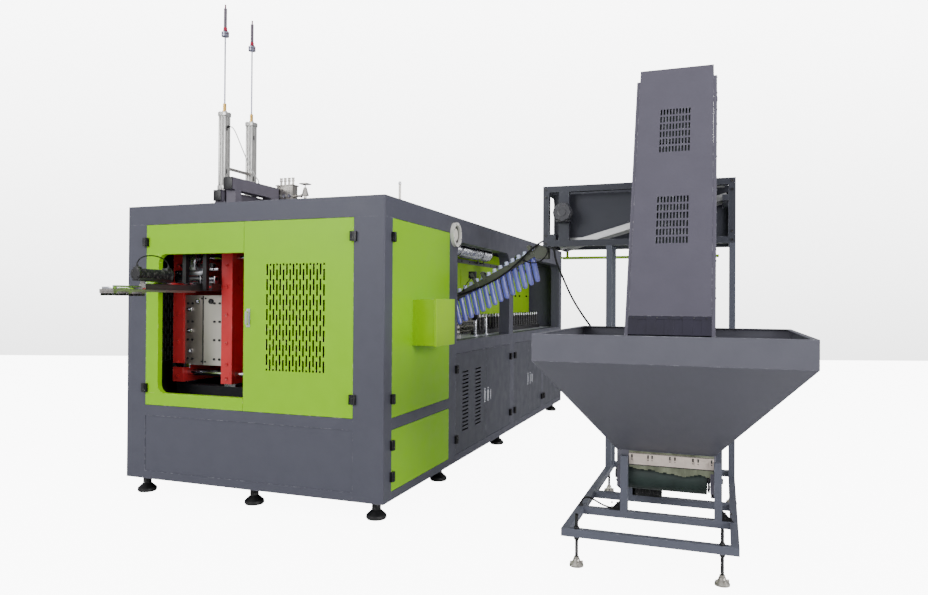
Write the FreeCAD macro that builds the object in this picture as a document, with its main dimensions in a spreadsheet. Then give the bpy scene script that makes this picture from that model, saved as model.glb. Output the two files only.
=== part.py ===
import FreeCAD, Part
import math
import os
import Sketcher
from types import SimpleNamespace

# Linear blow moulding machine with its preform feeder, in millimetres.
# X runs across the front, Y runs back along the line, Z is up from the floor.
# The origin is the underside centre of the middle front levelling foot.

SIZES = {
    # casing of the machine
    "machine_width": 2000,
    "machine_length": 5050,
    "machine_top": 2003,
    "foot_inset": 100,
    "foot_height": 116,
    "foot_radius": 65,
    "foot_rim": 10,
    "foot_shoulder": 26,
    "foot_neck": 48,
    "foot_boss": 58,
    "foot_nut": 18,
    "stud_radius": 20,
    "side_foot_inset": 95,
    "second_foot": 1130,
    "third_foot": 2620,
    "last_foot": 4900,
    "corner_radius": 8,
    "post_depth": 110,
    "left_post_width": 165,
    "right_post_width": 212,
    "header_height": 130,
    "rail_thickness": 60,
    "sill_height": 54,
    "middle_rail_low": 554,
    "door_low": 625,
    "cabinet_post_start": 1093,
    "cabinet_post_end": 1240,
    "oven_post_thickness": 100,
    "roof_thickness": 20,
    "bed_thickness": 40,
    "panel_thickness": 20,
    "panel_recess": 4,
    "seam": 3,
    "fit_gap": 0.3,
    # doors and their hinges
    "door_seam": -25,
    "front_door_thickness": 40,
    "side_door_thickness": 22,
    "window_left": 105,
    "window_low": 711,
    "window_high": 1667,
    "window_radius": 60,
    "hinge_width": 43,
    "hinge_height": 60,
    "hinge_depth": 18,
    "hinge_inset": 120,
    "low_hinge_inset": 95,
    "handle_length": 120,
    "handle_width": 30,
    "handle_reach": 28,
    "handle_height": 1238,
    "vent_columns": 18,
    "vent_rows": 7,
    "vent_pitch": 24.8,
    "vent_row_pitch": 97,
    "slot_width": 13.5,
    "slot_length": 73,
    "vent_start": 150,
    "vent_low": 899,
    "side_vent_columns": 24,
    "handle_offset": 40,
    "handle_thickness": 9,
    "control_start": 304,
    "control_width": 338,
    "control_low": 1057,
    "control_height": 313,
    "control_depth": 173,
    # oven section
    "table_height": 1050,
    "table_thickness": 18,
    "table_rail_height": 98,
    "bay_top": 1820,
    "bay_radius": 110,
    "bay_one_start": 1265,
    "bay_one_end": 2690,
    "bay_two_start": 2830,
    "bay_two_end": 4907,
    "oven_door_low": 173,
    "oven_door_one": 1243,
    "oven_seam_one": 1993,
    "oven_door_one_end": 2727,
    "oven_door_two": 2878,
    "oven_seam_two": 3440,
    "oven_door_two_end": 4003,
    "oven_door_three": 4090,
    "oven_seam_three": 4571,
    "oven_door_three_end": 4980,
    "oven_handle_low": 490,
    "oven_handle_offset": 45,
    "louvre_count": 16,
    "louvre_pitch": 30.6,
    "louvre_height": 13,
    "louvre_low": 331,
    "louvre_start": 152,
    "louvre_width": 137,
    "louvre_step": 312,
    "flange_height": 1866,
    "flange_centre": 1195,
    "flange_radius": 92,
    "flange_bore": 72,
    "flange_length": 26,
    "duct_offset": 810,
    "duct_radius": 60,
    "duct_wall": 3,
    "duct_height": 1800,
    "duct_start": 1440,
    "strap_width": 40,
    "duct_end": 2560,
    "blower_radius": 88,
    "blower_length": 140,
    "oven_casing_offset": 600,
    "oven_casing_start": 2300,
    "oven_casing_height": 620,
    "casing_depth": 380,
    "casing_low": 1230,
    "casing_wall": 20,
    "lamp_bar_height": 1720,
    "hook_one": 2750,
    "hook_two": 2923,
    "lamp_bar_size": 35,
    "hook_thickness": 8,
    "hook_tip": 14,
    "hook_root": 20,
    "lamp_radius": 7,
    "lamp_count": 4,
    "lamp_pitch": 45,
    "spindle_radius": 15,
    "spindle_height": 120,
    "spindle_pitch": 100,
    "spindle_count": 24,
    "spindle_start": 2400,
    "track_width": 60,
    "spindle_offset": 760,
    "chain_height": 40,
    # clamp and moulds
    "mould_parting": -584,
    "mould_thickness": 167,
    "mould_start": 288,
    "mould_length": 734,
    "mould_low": 885,
    "mould_height": 503,
    "mould_gap": 0.4,
    "cavity_start": 207,
    "cavity_pitch": 323,
    "cavity_radius": 45,
    "cavity_floor": 40,
    "shoulder_height": 60,
    "neck_height": 30,
    "neck_radius": 14,
    "platen_thickness": 92,
    "platen_start": 270,
    "platen_length": 770,
    "platen_low": 760,
    "platen_high": 1760,
    "clamp_stroke": 105,
    "clamp_clearance": 16,
    "toggle_plate_thickness": 70,
    "tie_radius": 22,
    "tie_inset": 62,
    "tie_low": 827,
    "tie_high": 1660,
    "tie_nut": 34,
    "running_gap": 0.05,
    "ram_radius": 40,
    "clamp_cylinder_radius": 95,
    "clamp_cylinder_length": 420,
    "clamp_rail_width": 110,
    "clamp_rail_inset": 40,
    "cylinder_wall": 20,
    "shoe_height": 24,
    # stretch units on the roof
    "cylinder_size": 70,
    "cylinder_low": 2180,
    "cylinder_high": 2760,
    "cap_height": 32,
    "bushing_radius": 13,
    "bushing_height": 66,
    "rod_radius": 6,
    "rod_low": 1480,
    "rod_high": 3570,
    "rod_clearance": 12,
    "sleeve_radius": 12,
    "sleeve_low": 3375,
    "sleeve_high": 3540,
    "collar_height": 22,
    "knob_low": 3330,
    "knob_radius": 28,
    "knob_height": 14,
    "knob_gap": 5,
    "beam_lift": 87,
    "mount_block_width": 92,
    "roof_beam_height": 80,
    "roof_beam_front": 420,
    "roof_beam_back": 1075,
    "upper_beam_offset": 54,
    "upper_beam_width": 80,
    "upper_beam_height": 90,
    "upper_beam_back": 1000,
    "manifold_offset": 105,
    "manifold_width": 150,
    "manifold_height": 287,
    "manifold_depth": 70,
    "manifold_start": 1015,
    "whistle_offset": 350,
    "whistle_radius": 30,
    "link_height": 2340,
    "pipe_offset": 950,
    "control_box_offset": 205,
    "pipe_radius": 8,
    "pipe_height": 130,
    # take-out arm
    "arm_centre": -520,
    "arm_reach": 640,
    "arm_plate_low": 1402,
    "arm_plate_thickness": 14,
    "arm_plate_width": 110,
    "arm_plate_back": 60,
    "hanger_leg_inner": 72,
    "hanger_leg_outer": 102,
    "hanger_arch": 1672,
    "hanger_thickness": 30,
    "guide_height": 1445,
    "guide_offset": 88,
    "carriage_start": 170,
    "carriage_half_height": 26,
    "arm_bar_height": 36,
    "arm_bar_width": 50,
    "arm_bar_front": 360,
    "arm_rail_height": 18,
    "arm_rail_width": 34,
    "actuator_radius": 38,
    "actuator_front": 420,
    "actuator_length": 300,
    "finger_length": 70,
    "finger_width": 14,
    "guide_radius": 11,
    "carriage_length": 90,
    # preform rail
    "rail_centre": 1400,
    "rail_top_offset": 1640,
    "rail_top_height": 1782,
    "rail_slope": 28,
    "rail_run": 1010,
    "rail_bar_height": 48,
    "rail_bar_thickness": 8,
    "rail_tie_height": 52,
    "rail_tie_width": 26,
    "rail_tie_thickness": 6,
    "rail_bracket": 100,
    "rail_column": 32,
    "preform_count": 14,
    "preform_pitch": 54.8,
    "preform_start": 98,
    "preform_radius": 21,
    "preform_ring": 27,
    "preform_ring_height": 4,
    "preform_length": 237,
    "preform_neck": 28,
    "preform_lean": 13,
    "sensor_place": 583,
    "sensor_height": 48,
    "sensor_size": 36,
    # sorter
    "sorter_left": 1690,
    "sorter_right": 3010,
    "sorter_start": 1200,
    "sorter_depth": 400,
    "sorter_low": 1760,
    "sorter_height": 440,
    "sorter_tube": 45,
    "motor_post_offset": 117,
    "motor_post_width": 74,
    "motor_height": 2000,
    "roller_slope": 16,
    "roller_start": 90,
    "roller_height": 1806,
    "roller_length": 1210,
    "roller_radius": 25,
    "roller_axle": 10,
    "roller_spread": 48,
    "trough_wall": 6,
    "trough_half_width": 92,
    "trough_depth": 70,
    "trough_rise": 40,
    "end_plate": 12,
    "bearing_depth": 8,
    "cross_bar_drop": 53,
    "gear_motor_radius": 62,
    "gear_motor_length": 70,
    # base frame and legs of the feeder
    "base_left": 2150,
    "base_right": 3010,
    "base_start": -270,
    "base_end": 1420,
    "base_low": 150,
    "base_tube": 40,
    "base_beam_two": 150,
    "base_beam_three": 510,
    "hopper_leg_left": 2394.3,
    "hopper_leg_right": 2890.3,
    "gusset": 60,
    "switch_box_left": 2420,
    "switch_box_length": 170,
    "switch_box_height": 55,
    "base_foot_offset": 78,
    "base_foot_back": 1260,
    "base_stud_radius": 8,
    "base_stud_top": 267,
    "base_foot_radius": 36,
    "shoe_rim": 9,
    "shoe_shoulder": 24,
    "shoe_neck": 34,
    "shoe_nut_top": 48,
    "lock_nut": 14,
    # hopper
    "hopper_left": 2067,
    "hopper_right": 3315,
    "hopper_start": -570,
    "hopper_end": 790,
    "hopper_band_low": 1070,
    "hopper_top": 1200,
    "hopper_lip": 28,
    "hopper_sheet": 4,
    "hopper_mouth_low": 525,
    "skirt_height": 85,
    # belt elevator
    "tower_centre": 2632,
    "tower_foot": 287,
    "tower_height": 370,
    "tower_lean": 20,
    "tower_width": 516,
    "tower_depth": 220,
    "tower_low": -85,
    "tower_plate_top": 2610,
    "tower_sheet": 4,
    "tower_flange": 20,
    "cover_low": 921,
    "cover_top": 2695,
    "curtain_low": 803,
    "curtain_thickness": 5,
    "tower_vent_columns": 10,
    "tower_vent_rows": 6,
    "tower_vent_pitch": 19.9,
    "tower_row_pitch": 56.5,
    "tower_slot_width": 11,
    "tower_slot_length": 44,
    "tower_vent_low": 1397,
    "tower_vent_high": 2046,
    "belt_width": 440,
    "belt_thickness": 8,
    "drum_radius": 70,
    "drum_gap": 0.4,
    "head_drum": 2500,
    "drum_shaft": 15,
    "shaft_stub": 46,
    "cleat_height": 24,
    "cleat_thickness": 6,
    "cleat_pitch": 250,
    "discharge_low": 2230,
    # cables and hoses
    "main_cable_radius": 7,
    "loop_cable_radius": 5,
    "sensor_cable_radius": 3,
    "sorter_cable_radius": 7,
    "base_cable_radius": 5,
    "air_hose_radius": 4,
    "arm_hose_radius": 4,
}

doc = FreeCAD.newDocument("blow_moulding_machine")
sheet = doc.addObject("Spreadsheet::Sheet", "Sizes")
for row, (alias, number) in enumerate(SIZES.items(), start=1):
    sheet.set(f"A{row}", alias)
    sheet.set(f"B{row}", str(number))
    sheet.setAlias(f"B{row}", alias)
doc.recompute()


class Size:
    """A length: its number, and the sheet formula that gives it."""

    def __init__(self, number, formula):
        self.number = number
        self.formula = formula

    def join(self, sign, other, number):
        return Size(number, f"({self.formula} {sign} {size(other).formula})")

    def __add__(self, other):
        return self.join("+", other, self.number + size(other).number)

    def __sub__(self, other):
        return self.join("-", other, self.number - size(other).number)

    def __mul__(self, other):
        return self.join("*", other, self.number * size(other).number)

    def __truediv__(self, other):
        return self.join("/", other, self.number / size(other).number)

    def __radd__(self, other):
        return size(other) + self

    def __rsub__(self, other):
        return size(other) - self

    def __rmul__(self, other):
        return size(other) * self

    def __neg__(self):
        return size(0) - self

    def __float__(self):
        return float(self.number)


def size(value):
    """A plain number as a Size; a Size as it is."""
    if isinstance(value, Size):
        return value
    return Size(float(value), f"({float(value)})")


s = SimpleNamespace(**{name: Size(float(sheet.get(name)), f"Sizes.{name}") for name in SIZES})
parts = {}

AXIS_TURNS = {
    "X": FreeCAD.Rotation(FreeCAD.Vector(0, 1, 0), 90),
    "Y": FreeCAD.Rotation(FreeCAD.Vector(1, 0, 0), -90),
    "Z": FreeCAD.Rotation(),
}


def vector(x, y, z):
    """A point from sizes or numbers."""
    return FreeCAD.Vector(float(x), float(y), float(z))


def node(name, item):
    """Registers a finished sub-part under its own label."""
    item.Label = name
    parts[name] = item
    return item


def bind(item, prop, value):
    """Binds one property to the sheet."""
    item.setExpression(prop, size(value).formula)


def place(item, corner, turn=None):
    """Sets an object's turn and binds its position to the sheet."""
    if turn is not None:
        item.Placement = FreeCAD.Placement(FreeCAD.Vector(), turn)
    for axis, value in zip("xyz", corner):
        bind(item, f"Placement.Base.{axis}", value)
    return item


def box(name, low, high):
    """A block from its low corner to its high corner."""
    item = doc.addObject("Part::Box", name)
    for prop, start, end in zip(("Length", "Width", "Height"), low, high):
        bind(item, prop, size(end) - start)
    return place(item, low)


def cylinder(name, radius, start, length, axis="Z"):
    """A round bar from the centre of its first face."""
    item = doc.addObject("Part::Cylinder", name)
    bind(item, "Radius", radius)
    bind(item, "Height", length)
    return place(item, start, AXIS_TURNS[axis])


def cut(name, base, *tools):
    """The base with the tools taken away."""
    item = doc.addObject("Part::Cut", name)
    item.Base = base
    item.Tool = tools[0] if len(tools) == 1 else fuse(name + "_tools", *tools)
    return item


def fuse(name, *pieces):
    """One solid from pieces that meet."""
    item = doc.addObject("Part::MultiFuse", name)
    item.Shapes = list(pieces)
    item.Refine = True
    return item


def group(name, pieces):
    """Separate solids that share one node."""
    item = doc.addObject("Part::Compound", name)
    item.Links = list(pieces)
    return item


def shape(name, solid, placement=None):
    """A feature whose form is made by Part's own functions."""
    item = doc.addObject("Part::Feature", name)
    item.Shape = solid
    if placement is not None:
        item.Placement = placement
    return item


def copies(name, source, steps):
    """The source's solid repeated at each step, as separate solids."""
    doc.recompute()
    solids = []
    for step in steps:
        solid = source.Shape.copy()
        solid.translate(vector(*step))
        solids.append(solid)
    return shape(name, Part.makeCompound(solids))


def outline(owner, plane, offset, points):
    """A closed sketch whose corners are held by the sheet."""
    sketch = owner.newObject("Sketcher::SketchObject", owner.Name + "_outline")
    origin_plane = [item for item in owner.Origin.OriginFeatures if item.Role == plane][0]
    sketch.AttachmentSupport = [(origin_plane, "")]
    sketch.MapMode = "FlatFace"
    bind(sketch, "AttachmentOffset.Base.z", offset)
    corners = [FreeCAD.Vector(float(u), float(v), 0) for u, v in points]
    count = len(corners)
    for index in range(count):
        sketch.addGeometry(Part.LineSegment(corners[index], corners[(index + 1) % count]), False)
    for index in range(count):
        sketch.addConstraint(Sketcher.Constraint("Coincident", index, 2, (index + 1) % count, 1))
    for index, point in enumerate(points):
        for kind, value in zip(("DistanceX", "DistanceY"), point):
            rule = Sketcher.Constraint(kind, -1, 1, index, 1, float(value))
            number = sketch.addConstraint(rule)
            sketch.setExpression(f"Constraints[{number}]", size(value).formula)
    return sketch


def pad(owner, plane, points, start, end):
    """Pads an outline between two levels along the plane's world axis."""
    offset = -size(end) if plane == "XZ_Plane" else start
    feature = owner.newObject("PartDesign::Pad", owner.Name + "_pad")
    feature.Profile = outline(owner, plane, offset, points)
    bind(feature, "Length", size(end) - start)
    owner.Tip = feature
    return feature


def pocket(owner, plane, points, start, end):
    """Cuts an outline out between two levels along the plane's world axis."""
    offset = -size(start) if plane == "XZ_Plane" else end
    feature = owner.newObject("PartDesign::Pocket", owner.Name + "_pocket")
    feature.Profile = outline(owner, plane, offset, points)
    bind(feature, "Length", size(end) - start)
    owner.Tip = feature
    return feature


def round_edges(owner, radius, wanted):
    """Fillets the edges of the body's tip that the test picks."""
    doc.recompute()
    base = owner.Tip
    names = [f"Edge{index}" for index, edge in enumerate(base.Shape.Edges, 1) if wanted(edge)]
    feature = owner.newObject("PartDesign::Fillet", owner.Name + "_round")
    feature.Base = (base, names)
    bind(feature, "Radius", radius)
    owner.Tip = feature
    return feature


def repeat(owner, feature, axis, pitch, count):
    """Repeats a feature along one of the body's own axes."""
    pattern = owner.newObject("PartDesign::LinearPattern", owner.Name + "_pattern")
    pattern.Originals = [feature]
    direction = [item for item in owner.Origin.OriginFeatures if item.Role == axis + "_Axis"][0]
    pattern.Direction = (direction, [""])
    bind(pattern, "Length", pitch * (count - 1))
    pattern.Occurrences = int(float(count))
    owner.Tip = pattern
    return pattern


def turned(owner, points, start):
    """Revolves an outline of radius and height about the upright through a point."""
    sketch = outline(owner, "XZ_Plane", 0, points)
    feature = owner.newObject("PartDesign::Revolution", owner.Name + "_turn")
    feature.Profile = sketch
    feature.ReferenceAxis = (sketch, ["V_Axis"])
    feature.Angle = 360
    owner.Tip = feature
    place(owner, start)
    return feature


def rectangle(low, high):
    """The four corners of a rectangle."""
    return [(low[0], low[1]), (high[0], low[1]), (high[0], high[1]), (low[0], high[1])]


def body(name):
    """An empty PartDesign body."""
    return doc.addObject("PartDesign::Body", name)


def along(edge, axis):
    """Whether an edge is a straight one along the axis."""
    if not isinstance(edge.Curve, Part.Line):
        return False
    return abs(edge.Curve.Direction.dot(axis)) > 0.999


def near(edge, **where):
    """Whether an edge's centre lies at the given coordinates."""
    centre = edge.CenterOfMass
    return all(abs(getattr(centre, axis) - float(value)) < 0.5 for axis, value in where.items())


X_AXIS = FreeCAD.Vector(1, 0, 0)
Y_AXIS = FreeCAD.Vector(0, 1, 0)
Z_AXIS = FreeCAD.Vector(0, 0, 1)

# Casing: levels and stations that the machine's pieces share.
half = s.machine_width / 2
front = -s.foot_inset
back = front + s.machine_length
base = s.foot_height
top = s.machine_top
header_low = top - s.header_height
sill_top = base + s.sill_height
inner = half - s.rail_thickness
oven_inner = half - s.oven_post_thickness
left_door_edge = -half + s.left_post_width
right_door_edge = half - s.right_post_width
cabinet_front = front + s.post_depth
cabinet_back = front + s.cabinet_post_start
post_back = front + s.cabinet_post_end
table_low = s.table_height - s.table_rail_height


def mirrored(side, near_centre, outer):
    """The X span of a piece on the right side, or its mirror on the left."""
    if side == "right":
        return near_centre, outer
    return -size(outer), -size(near_centre)


def corner_post(name, x_low, x_high, outer_x, z_low, z_high):
    """A front upright or header whose outer front edges are rounded."""
    owner = body(name)
    pad(owner, "XY_Plane", rectangle((x_low, front), (x_high, cabinet_front)), z_low, z_high)
    round_edges(
        owner,
        s.corner_radius,
        lambda edge: along(edge, Z_AXIS)
        and near(edge, y=front)
        and abs(abs(edge.CenterOfMass.x) - float(outer_x)) < 0.5,
    )
    return owner


def cabinet_frame():
    """Welded frame of the blow cabinet: posts, header, sills and rails."""
    pieces = [
        corner_post("left_post", -half, left_door_edge, half, base, header_low),
        corner_post("right_post", right_door_edge, half, half, base, header_low),
        corner_post("header", -half, half, half, header_low, top),
        box("front_sill", (left_door_edge, front, base), (right_door_edge, cabinet_front, sill_top)),
        box(
            "front_rail",
            (left_door_edge, front, s.middle_rail_low),
            (right_door_edge, cabinet_front, s.door_low),
        ),
        box("rear_sill", (-oven_inner, cabinet_back, base), (oven_inner, post_back, sill_top)),
        box("rear_header", (-oven_inner, cabinet_back, header_low), (oven_inner, post_back, top)),
    ]
    for side in ("left", "right"):
        x_low, x_high = mirrored(side, inner, half)
        post_low, post_high = mirrored(side, oven_inner, half)
        levels = {
            "sill": (base, sill_top),
            "rail": (s.middle_rail_low, s.door_low),
            "beam": (header_low, top),
        }
        for level, (low, high) in levels.items():
            corner = (x_low, cabinet_front, low)
            pieces.append(box(f"{side}_{level}", corner, (x_high, cabinet_back, high)))
        pieces.append(box(f"{side}_rear_post", (post_low, cabinet_back, base), (post_high, post_back, top)))
    return node("cabinet_frame", group("cabinet_frame_pieces", pieces))


def bay_corner(name, x_low, x_high, y, turn_in):
    """Filler that rounds one top corner of an oven bay; turn_in points into the bay."""
    owner = body(name)
    high = s.bay_top
    end = y + s.bay_radius * turn_in
    points = [(y, high), (end, high), (y, high - s.bay_radius)]
    pad(owner, "YZ_Plane", points, x_low, x_high)
    doc.recompute()
    centre = vector(0, end, high - s.bay_radius)
    core = Part.makeCylinder(
        float(s.bay_radius),
        float(half) * 4,
        centre - X_AXIS * float(half) * 2,
        X_AXIS,
    )
    tool = shape(name + "_core", core)
    return cut(name + "_cut", owner, tool)


def oven_frame():
    """Welded frame of the oven section: sills, stiles, table rails, posts and top beams."""
    pieces = []
    stiles = {
        "stile_one": (s.cabinet_post_end, s.oven_door_one),
        "stile_two": (s.oven_door_one_end, s.oven_door_two),
        "stile_three": (s.oven_door_two_end, s.oven_door_three),
        "stile_four": (s.oven_door_three_end, s.machine_length),
    }
    posts = {
        "jamb_one": (s.cabinet_post_end, s.bay_one_start),
        "middle_post": (s.bay_one_end, s.bay_two_start),
        "end_post": (s.bay_two_end, s.machine_length),
    }
    for side in ("left", "right"):
        x_low, x_high = mirrored(side, oven_inner, half)
        sill = (x_high, back, s.oven_door_low)
        pieces.append(box(f"{side}_oven_sill", (x_low, post_back, base), sill))
        for name, (start, end) in stiles.items():
            low = (x_low, front + start, s.oven_door_low)
            pieces.append(box(f"{side}_{name}", low, (x_high, front + end, table_low)))
        pieces.append(
            box(f"{side}_table_rail", (x_low, post_back, table_low), (x_high, back, s.table_height))
        )
        for name, (start, end) in posts.items():
            low = (x_low, front + start, s.table_height)
            pieces.append(box(f"{side}_{name}", low, (x_high, front + end, s.bay_top)))
        pieces.append(box(f"{side}_top_beam", (x_low, post_back, s.bay_top), (x_high, back, top)))
        corners = ((s.bay_one_start, 1), (s.bay_one_end, -1), (s.bay_two_start, 1), (s.bay_two_end, -1))
        for number, (y, turn_in) in enumerate(corners, start=1):
            pieces.append(bay_corner(f"{side}_bay_corner_{number}", x_low, x_high, front + y, turn_in))
    depth = s.oven_post_thickness
    for name, low, high in (
        ("end_sill", base, s.oven_door_low),
        ("end_table_rail", table_low, s.table_height),
        ("end_beam", s.bay_top, top),
    ):
        pieces.append(box(name, (-oven_inner, back - depth, low), (oven_inner, back, high)))
    return node("oven_frame", group("oven_frame_pieces", pieces))


def roof_panels():
    """Sheet roofs let into the cabinet frame and the oven frame."""
    cabinet = box(
        "cabinet_roof",
        (-inner, cabinet_front, top - s.roof_thickness),
        (inner, cabinet_back, top),
    )
    for number in (1, 2):
        y = cavity_line(number)
        low = top - s.roof_thickness * 2
        hole = cylinder(
            "rod_hole",
            s.rod_radius + s.rod_clearance,
            (s.mould_parting, y, low),
            s.roof_thickness * 4,
        )
        cabinet = cut(f"cabinet_roof_{number}", cabinet, hole)
    low = (-oven_inner, post_back, top - s.roof_thickness)
    oven = box("oven_roof", low, (oven_inner, back - s.oven_post_thickness, top))
    return node("roof_panels", group("roof_pieces", [cabinet, oven]))


def cavity_line(number):
    """The Y place of one mould cavity and of the stretch unit above it."""
    return front + s.mould_start + s.cavity_start + s.cavity_pitch * (number - 1)


# How far every second column of slots is raised, as a share of the pitch of its rows.
SLOT_STAGGER = 0.36


def slot_cutters(name, low, across, up, counts, slot, through, stagger=True):
    """Upright slots in staggered columns, as cutting blocks, with a short dot in each gap left over.

    low is the first slot's low corner; across and up are the pitches; slot is width and
    length; through is the cutting depth. The columns run along X where through is along Y,
    and along Y where it is along X.
    """
    width, length = float(slot[0]), float(slot[1])
    columns, rows = int(float(counts[0])), int(float(counts[1]))
    depth_x, depth_y = through
    solids = []
    for column in range(columns):
        shift = float(across) * column
        x = float(low[0]) + (0.0 if depth_x else shift)
        y = float(low[1]) + (shift if depth_x else 0.0)
        lowest = float(low[2])
        lift = float(up) * SLOT_STAGGER if stagger and column % 2 == 0 else 0.0
        heights = [(lowest + lift + float(up) * row, length) for row in range(rows)]
        if stagger:
            dot = lowest if lift else lowest + float(up) * rows
            heights.append((dot, width))
        for z, height in heights:
            solids.append(Part.makeBox(depth_x or width, depth_y or width, height, FreeCAD.Vector(x, y, z)))
    return shape(name, Part.makeCompound(solids))


def casing_panels():
    """Fixed sheet panels that close the front base, the left side and the back."""
    face = front + s.panel_recess
    left = -half + s.panel_recess
    thick = s.panel_thickness
    lower_front = box(
        "lower_front",
        (left_door_edge, face, sill_top),
        (right_door_edge, face + thick, s.middle_rail_low),
    )
    lower_left = box(
        "lower_left",
        (left, cabinet_front, sill_top),
        (left + thick, cabinet_back, s.middle_rail_low),
    )
    upper_left = box(
        "upper_left",
        (left, cabinet_front, s.door_low),
        (left + thick, cabinet_back, header_low),
    )
    start = (left - thick, cabinet_front + s.vent_start, s.vent_low)
    vents = slot_cutters(
        "left_vents",
        start,
        s.vent_pitch,
        s.vent_row_pitch,
        (s.side_vent_columns, s.vent_rows),
        (s.slot_width, s.slot_length),
        (float(thick) * 3, 0.0),
    )
    pieces = [lower_front, lower_left, cut("upper_left_vented", upper_left, vents)]
    bays = (
        (s.oven_door_one, s.oven_door_one_end),
        (s.oven_door_two, s.oven_door_two_end),
        (s.oven_door_three, s.oven_door_three_end),
    )
    for number, (start, end) in enumerate(bays, start=1):
        low = (left, front + start, s.oven_door_low)
        pieces.append(box(f"oven_left_{number}", low, (left + thick, front + end, table_low)))
    rear = back - s.panel_recess - thick
    for name, low, high in (
        ("rear_lower", s.oven_door_low, table_low),
        ("rear_upper", s.table_height, s.bay_top),
    ):
        pieces.append(box(name, (-oven_inner, rear, low), (oven_inner, rear + thick, high)))
    wall = cabinet_back + s.panel_recess
    pieces.append(
        box("partition", (-oven_inner, wall, sill_top), (oven_inner, wall + thick, s.table_height))
    )
    return node("casing_panels", group("casing_panel_pieces", pieces))


def table_plate():
    """Steel table that the oven and the transfer stand on."""
    low = (-oven_inner, post_back, s.table_height - s.table_thickness)
    return node(
        "table_plate",
        box("table", low, (oven_inner, back - s.oven_post_thickness, s.table_height)),
    )


def machine_bed():
    """Thick bed plate that carries the clamp inside the blow cabinet."""
    low = (-inner, cabinet_front, s.door_low - s.bed_thickness)
    return box("bed", low, (inner, cabinet_back, s.door_low))


def levelling_feet():
    """Bell-shaped levelling feet with their studs, one solid each."""
    foot = body("levelling_foot")
    radius = s.foot_radius
    stud = s.stud_radius
    profile = [
        (0, 0),
        (radius * 0.9, 0),
        (radius, s.foot_rim),
        (radius * 0.97, s.foot_shoulder),
        (radius * 0.6, s.foot_neck),
        (stud * 1.4, s.foot_boss),
        (stud * 1.4, base - s.foot_nut),
        (stud, base - s.foot_nut),
        (stud, base),
        (0, base),
    ]
    turned(foot, profile, (0, 0, 0))
    side = half - s.side_foot_inset
    steps = [(x, 0, 0) for x in (-side, size(0), side)]
    for station in (s.second_foot, s.third_foot, s.last_foot):
        steps += [(x, station - s.foot_inset, 0) for x in (-side, side)]
    return node("levelling_feet", copies("feet", foot, steps))


cabinet_frame()
oven_frame()
roof_panels()
casing_panels()
table_plate()
levelling_feet()


# Doors: each one is a panel with its halves of the hinges and its handle.
seam_half = s.seam / 2
leaf_gap = s.fit_gap / 2
hinge_front = front - s.hinge_depth
hinge_side = half + s.hinge_depth


def front_leaf(name, seam_x, outward, z):
    """A hinge leaf on the front face, on one side of a door's edge."""
    near_edge = seam_x + outward * leaf_gap
    far_edge = seam_x + outward * (s.hinge_width / 2)
    x_low, x_high = (near_edge, far_edge) if outward > 0 else (far_edge, near_edge)
    low = (x_low, hinge_front, z - s.hinge_height / 2)
    return box(name, low, (x_high, front, z + s.hinge_height / 2))


def side_leaf(name, seam_y, outward, z):
    """A hinge leaf on the right side face, on one side of a door's edge."""
    near_edge = seam_y + outward * leaf_gap
    far_edge = seam_y + outward * (s.hinge_width / 2)
    y_low, y_high = (near_edge, far_edge) if outward > 0 else (far_edge, near_edge)
    low = (half, y_low, z - s.hinge_height / 2)
    return box(name, low, (hinge_side, y_high, z + s.hinge_height / 2))


def door_body(name, plane, span, levels, depth):
    """The flat tray of a door, a seam smaller than its opening all round."""
    owner = body(name)
    corners = rectangle(
        (span[0] + seam_half, levels[0] + s.seam),
        (span[1] - seam_half, levels[1] - s.seam),
    )
    pad(owner, plane, corners, *depth)
    return owner


def pull_handle(name, plane, centre, z_low, face):
    """A chrome pull: a foot plate with a bowed grip, standing on a door's face."""
    width = s.handle_width / 2
    thick = s.handle_thickness
    z_high = z_low + s.handle_length
    if plane == "XZ_Plane":
        plate = box(
            name + "_plate",
            (centre - width, face - thick / 2, z_low),
            (centre + width, face, z_high),
        )
        grip_low, grip_high = centre - width / 2, centre + width / 2
        outer = face - s.handle_reach
        seat = face - thick / 2
        points = [
            (seat, z_low + thick),
            (outer, z_low + thick * 2),
            (outer, z_high - thick * 2),
            (seat, z_high - thick),
            (seat, z_high - thick * 2),
            (outer + thick, z_high - thick * 3),
            (outer + thick, z_low + thick * 3),
            (seat, z_low + thick * 2),
        ]
        grip = body(name + "_grip")
        pad(grip, "YZ_Plane", points, grip_low, grip_high)
        return fuse(name, plate, grip)
    plate = box(name + "_plate", (face, centre - width, z_low), (face + thick / 2, centre + width, z_high))
    outer = face + s.handle_reach
    seat = face + thick / 2
    points = [
        (seat, z_low + thick),
        (outer, z_low + thick * 2),
        (outer, z_high - thick * 2),
        (seat, z_high - thick),
        (seat, z_high - thick * 2),
        (outer - thick, z_high - thick * 3),
        (outer - thick, z_low + thick * 3),
        (seat, z_low + thick * 2),
    ]
    grip = body(name + "_grip")
    pad(grip, "XZ_Plane", points, centre - width / 2, centre + width / 2)
    return fuse(name, plate, grip)


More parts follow.
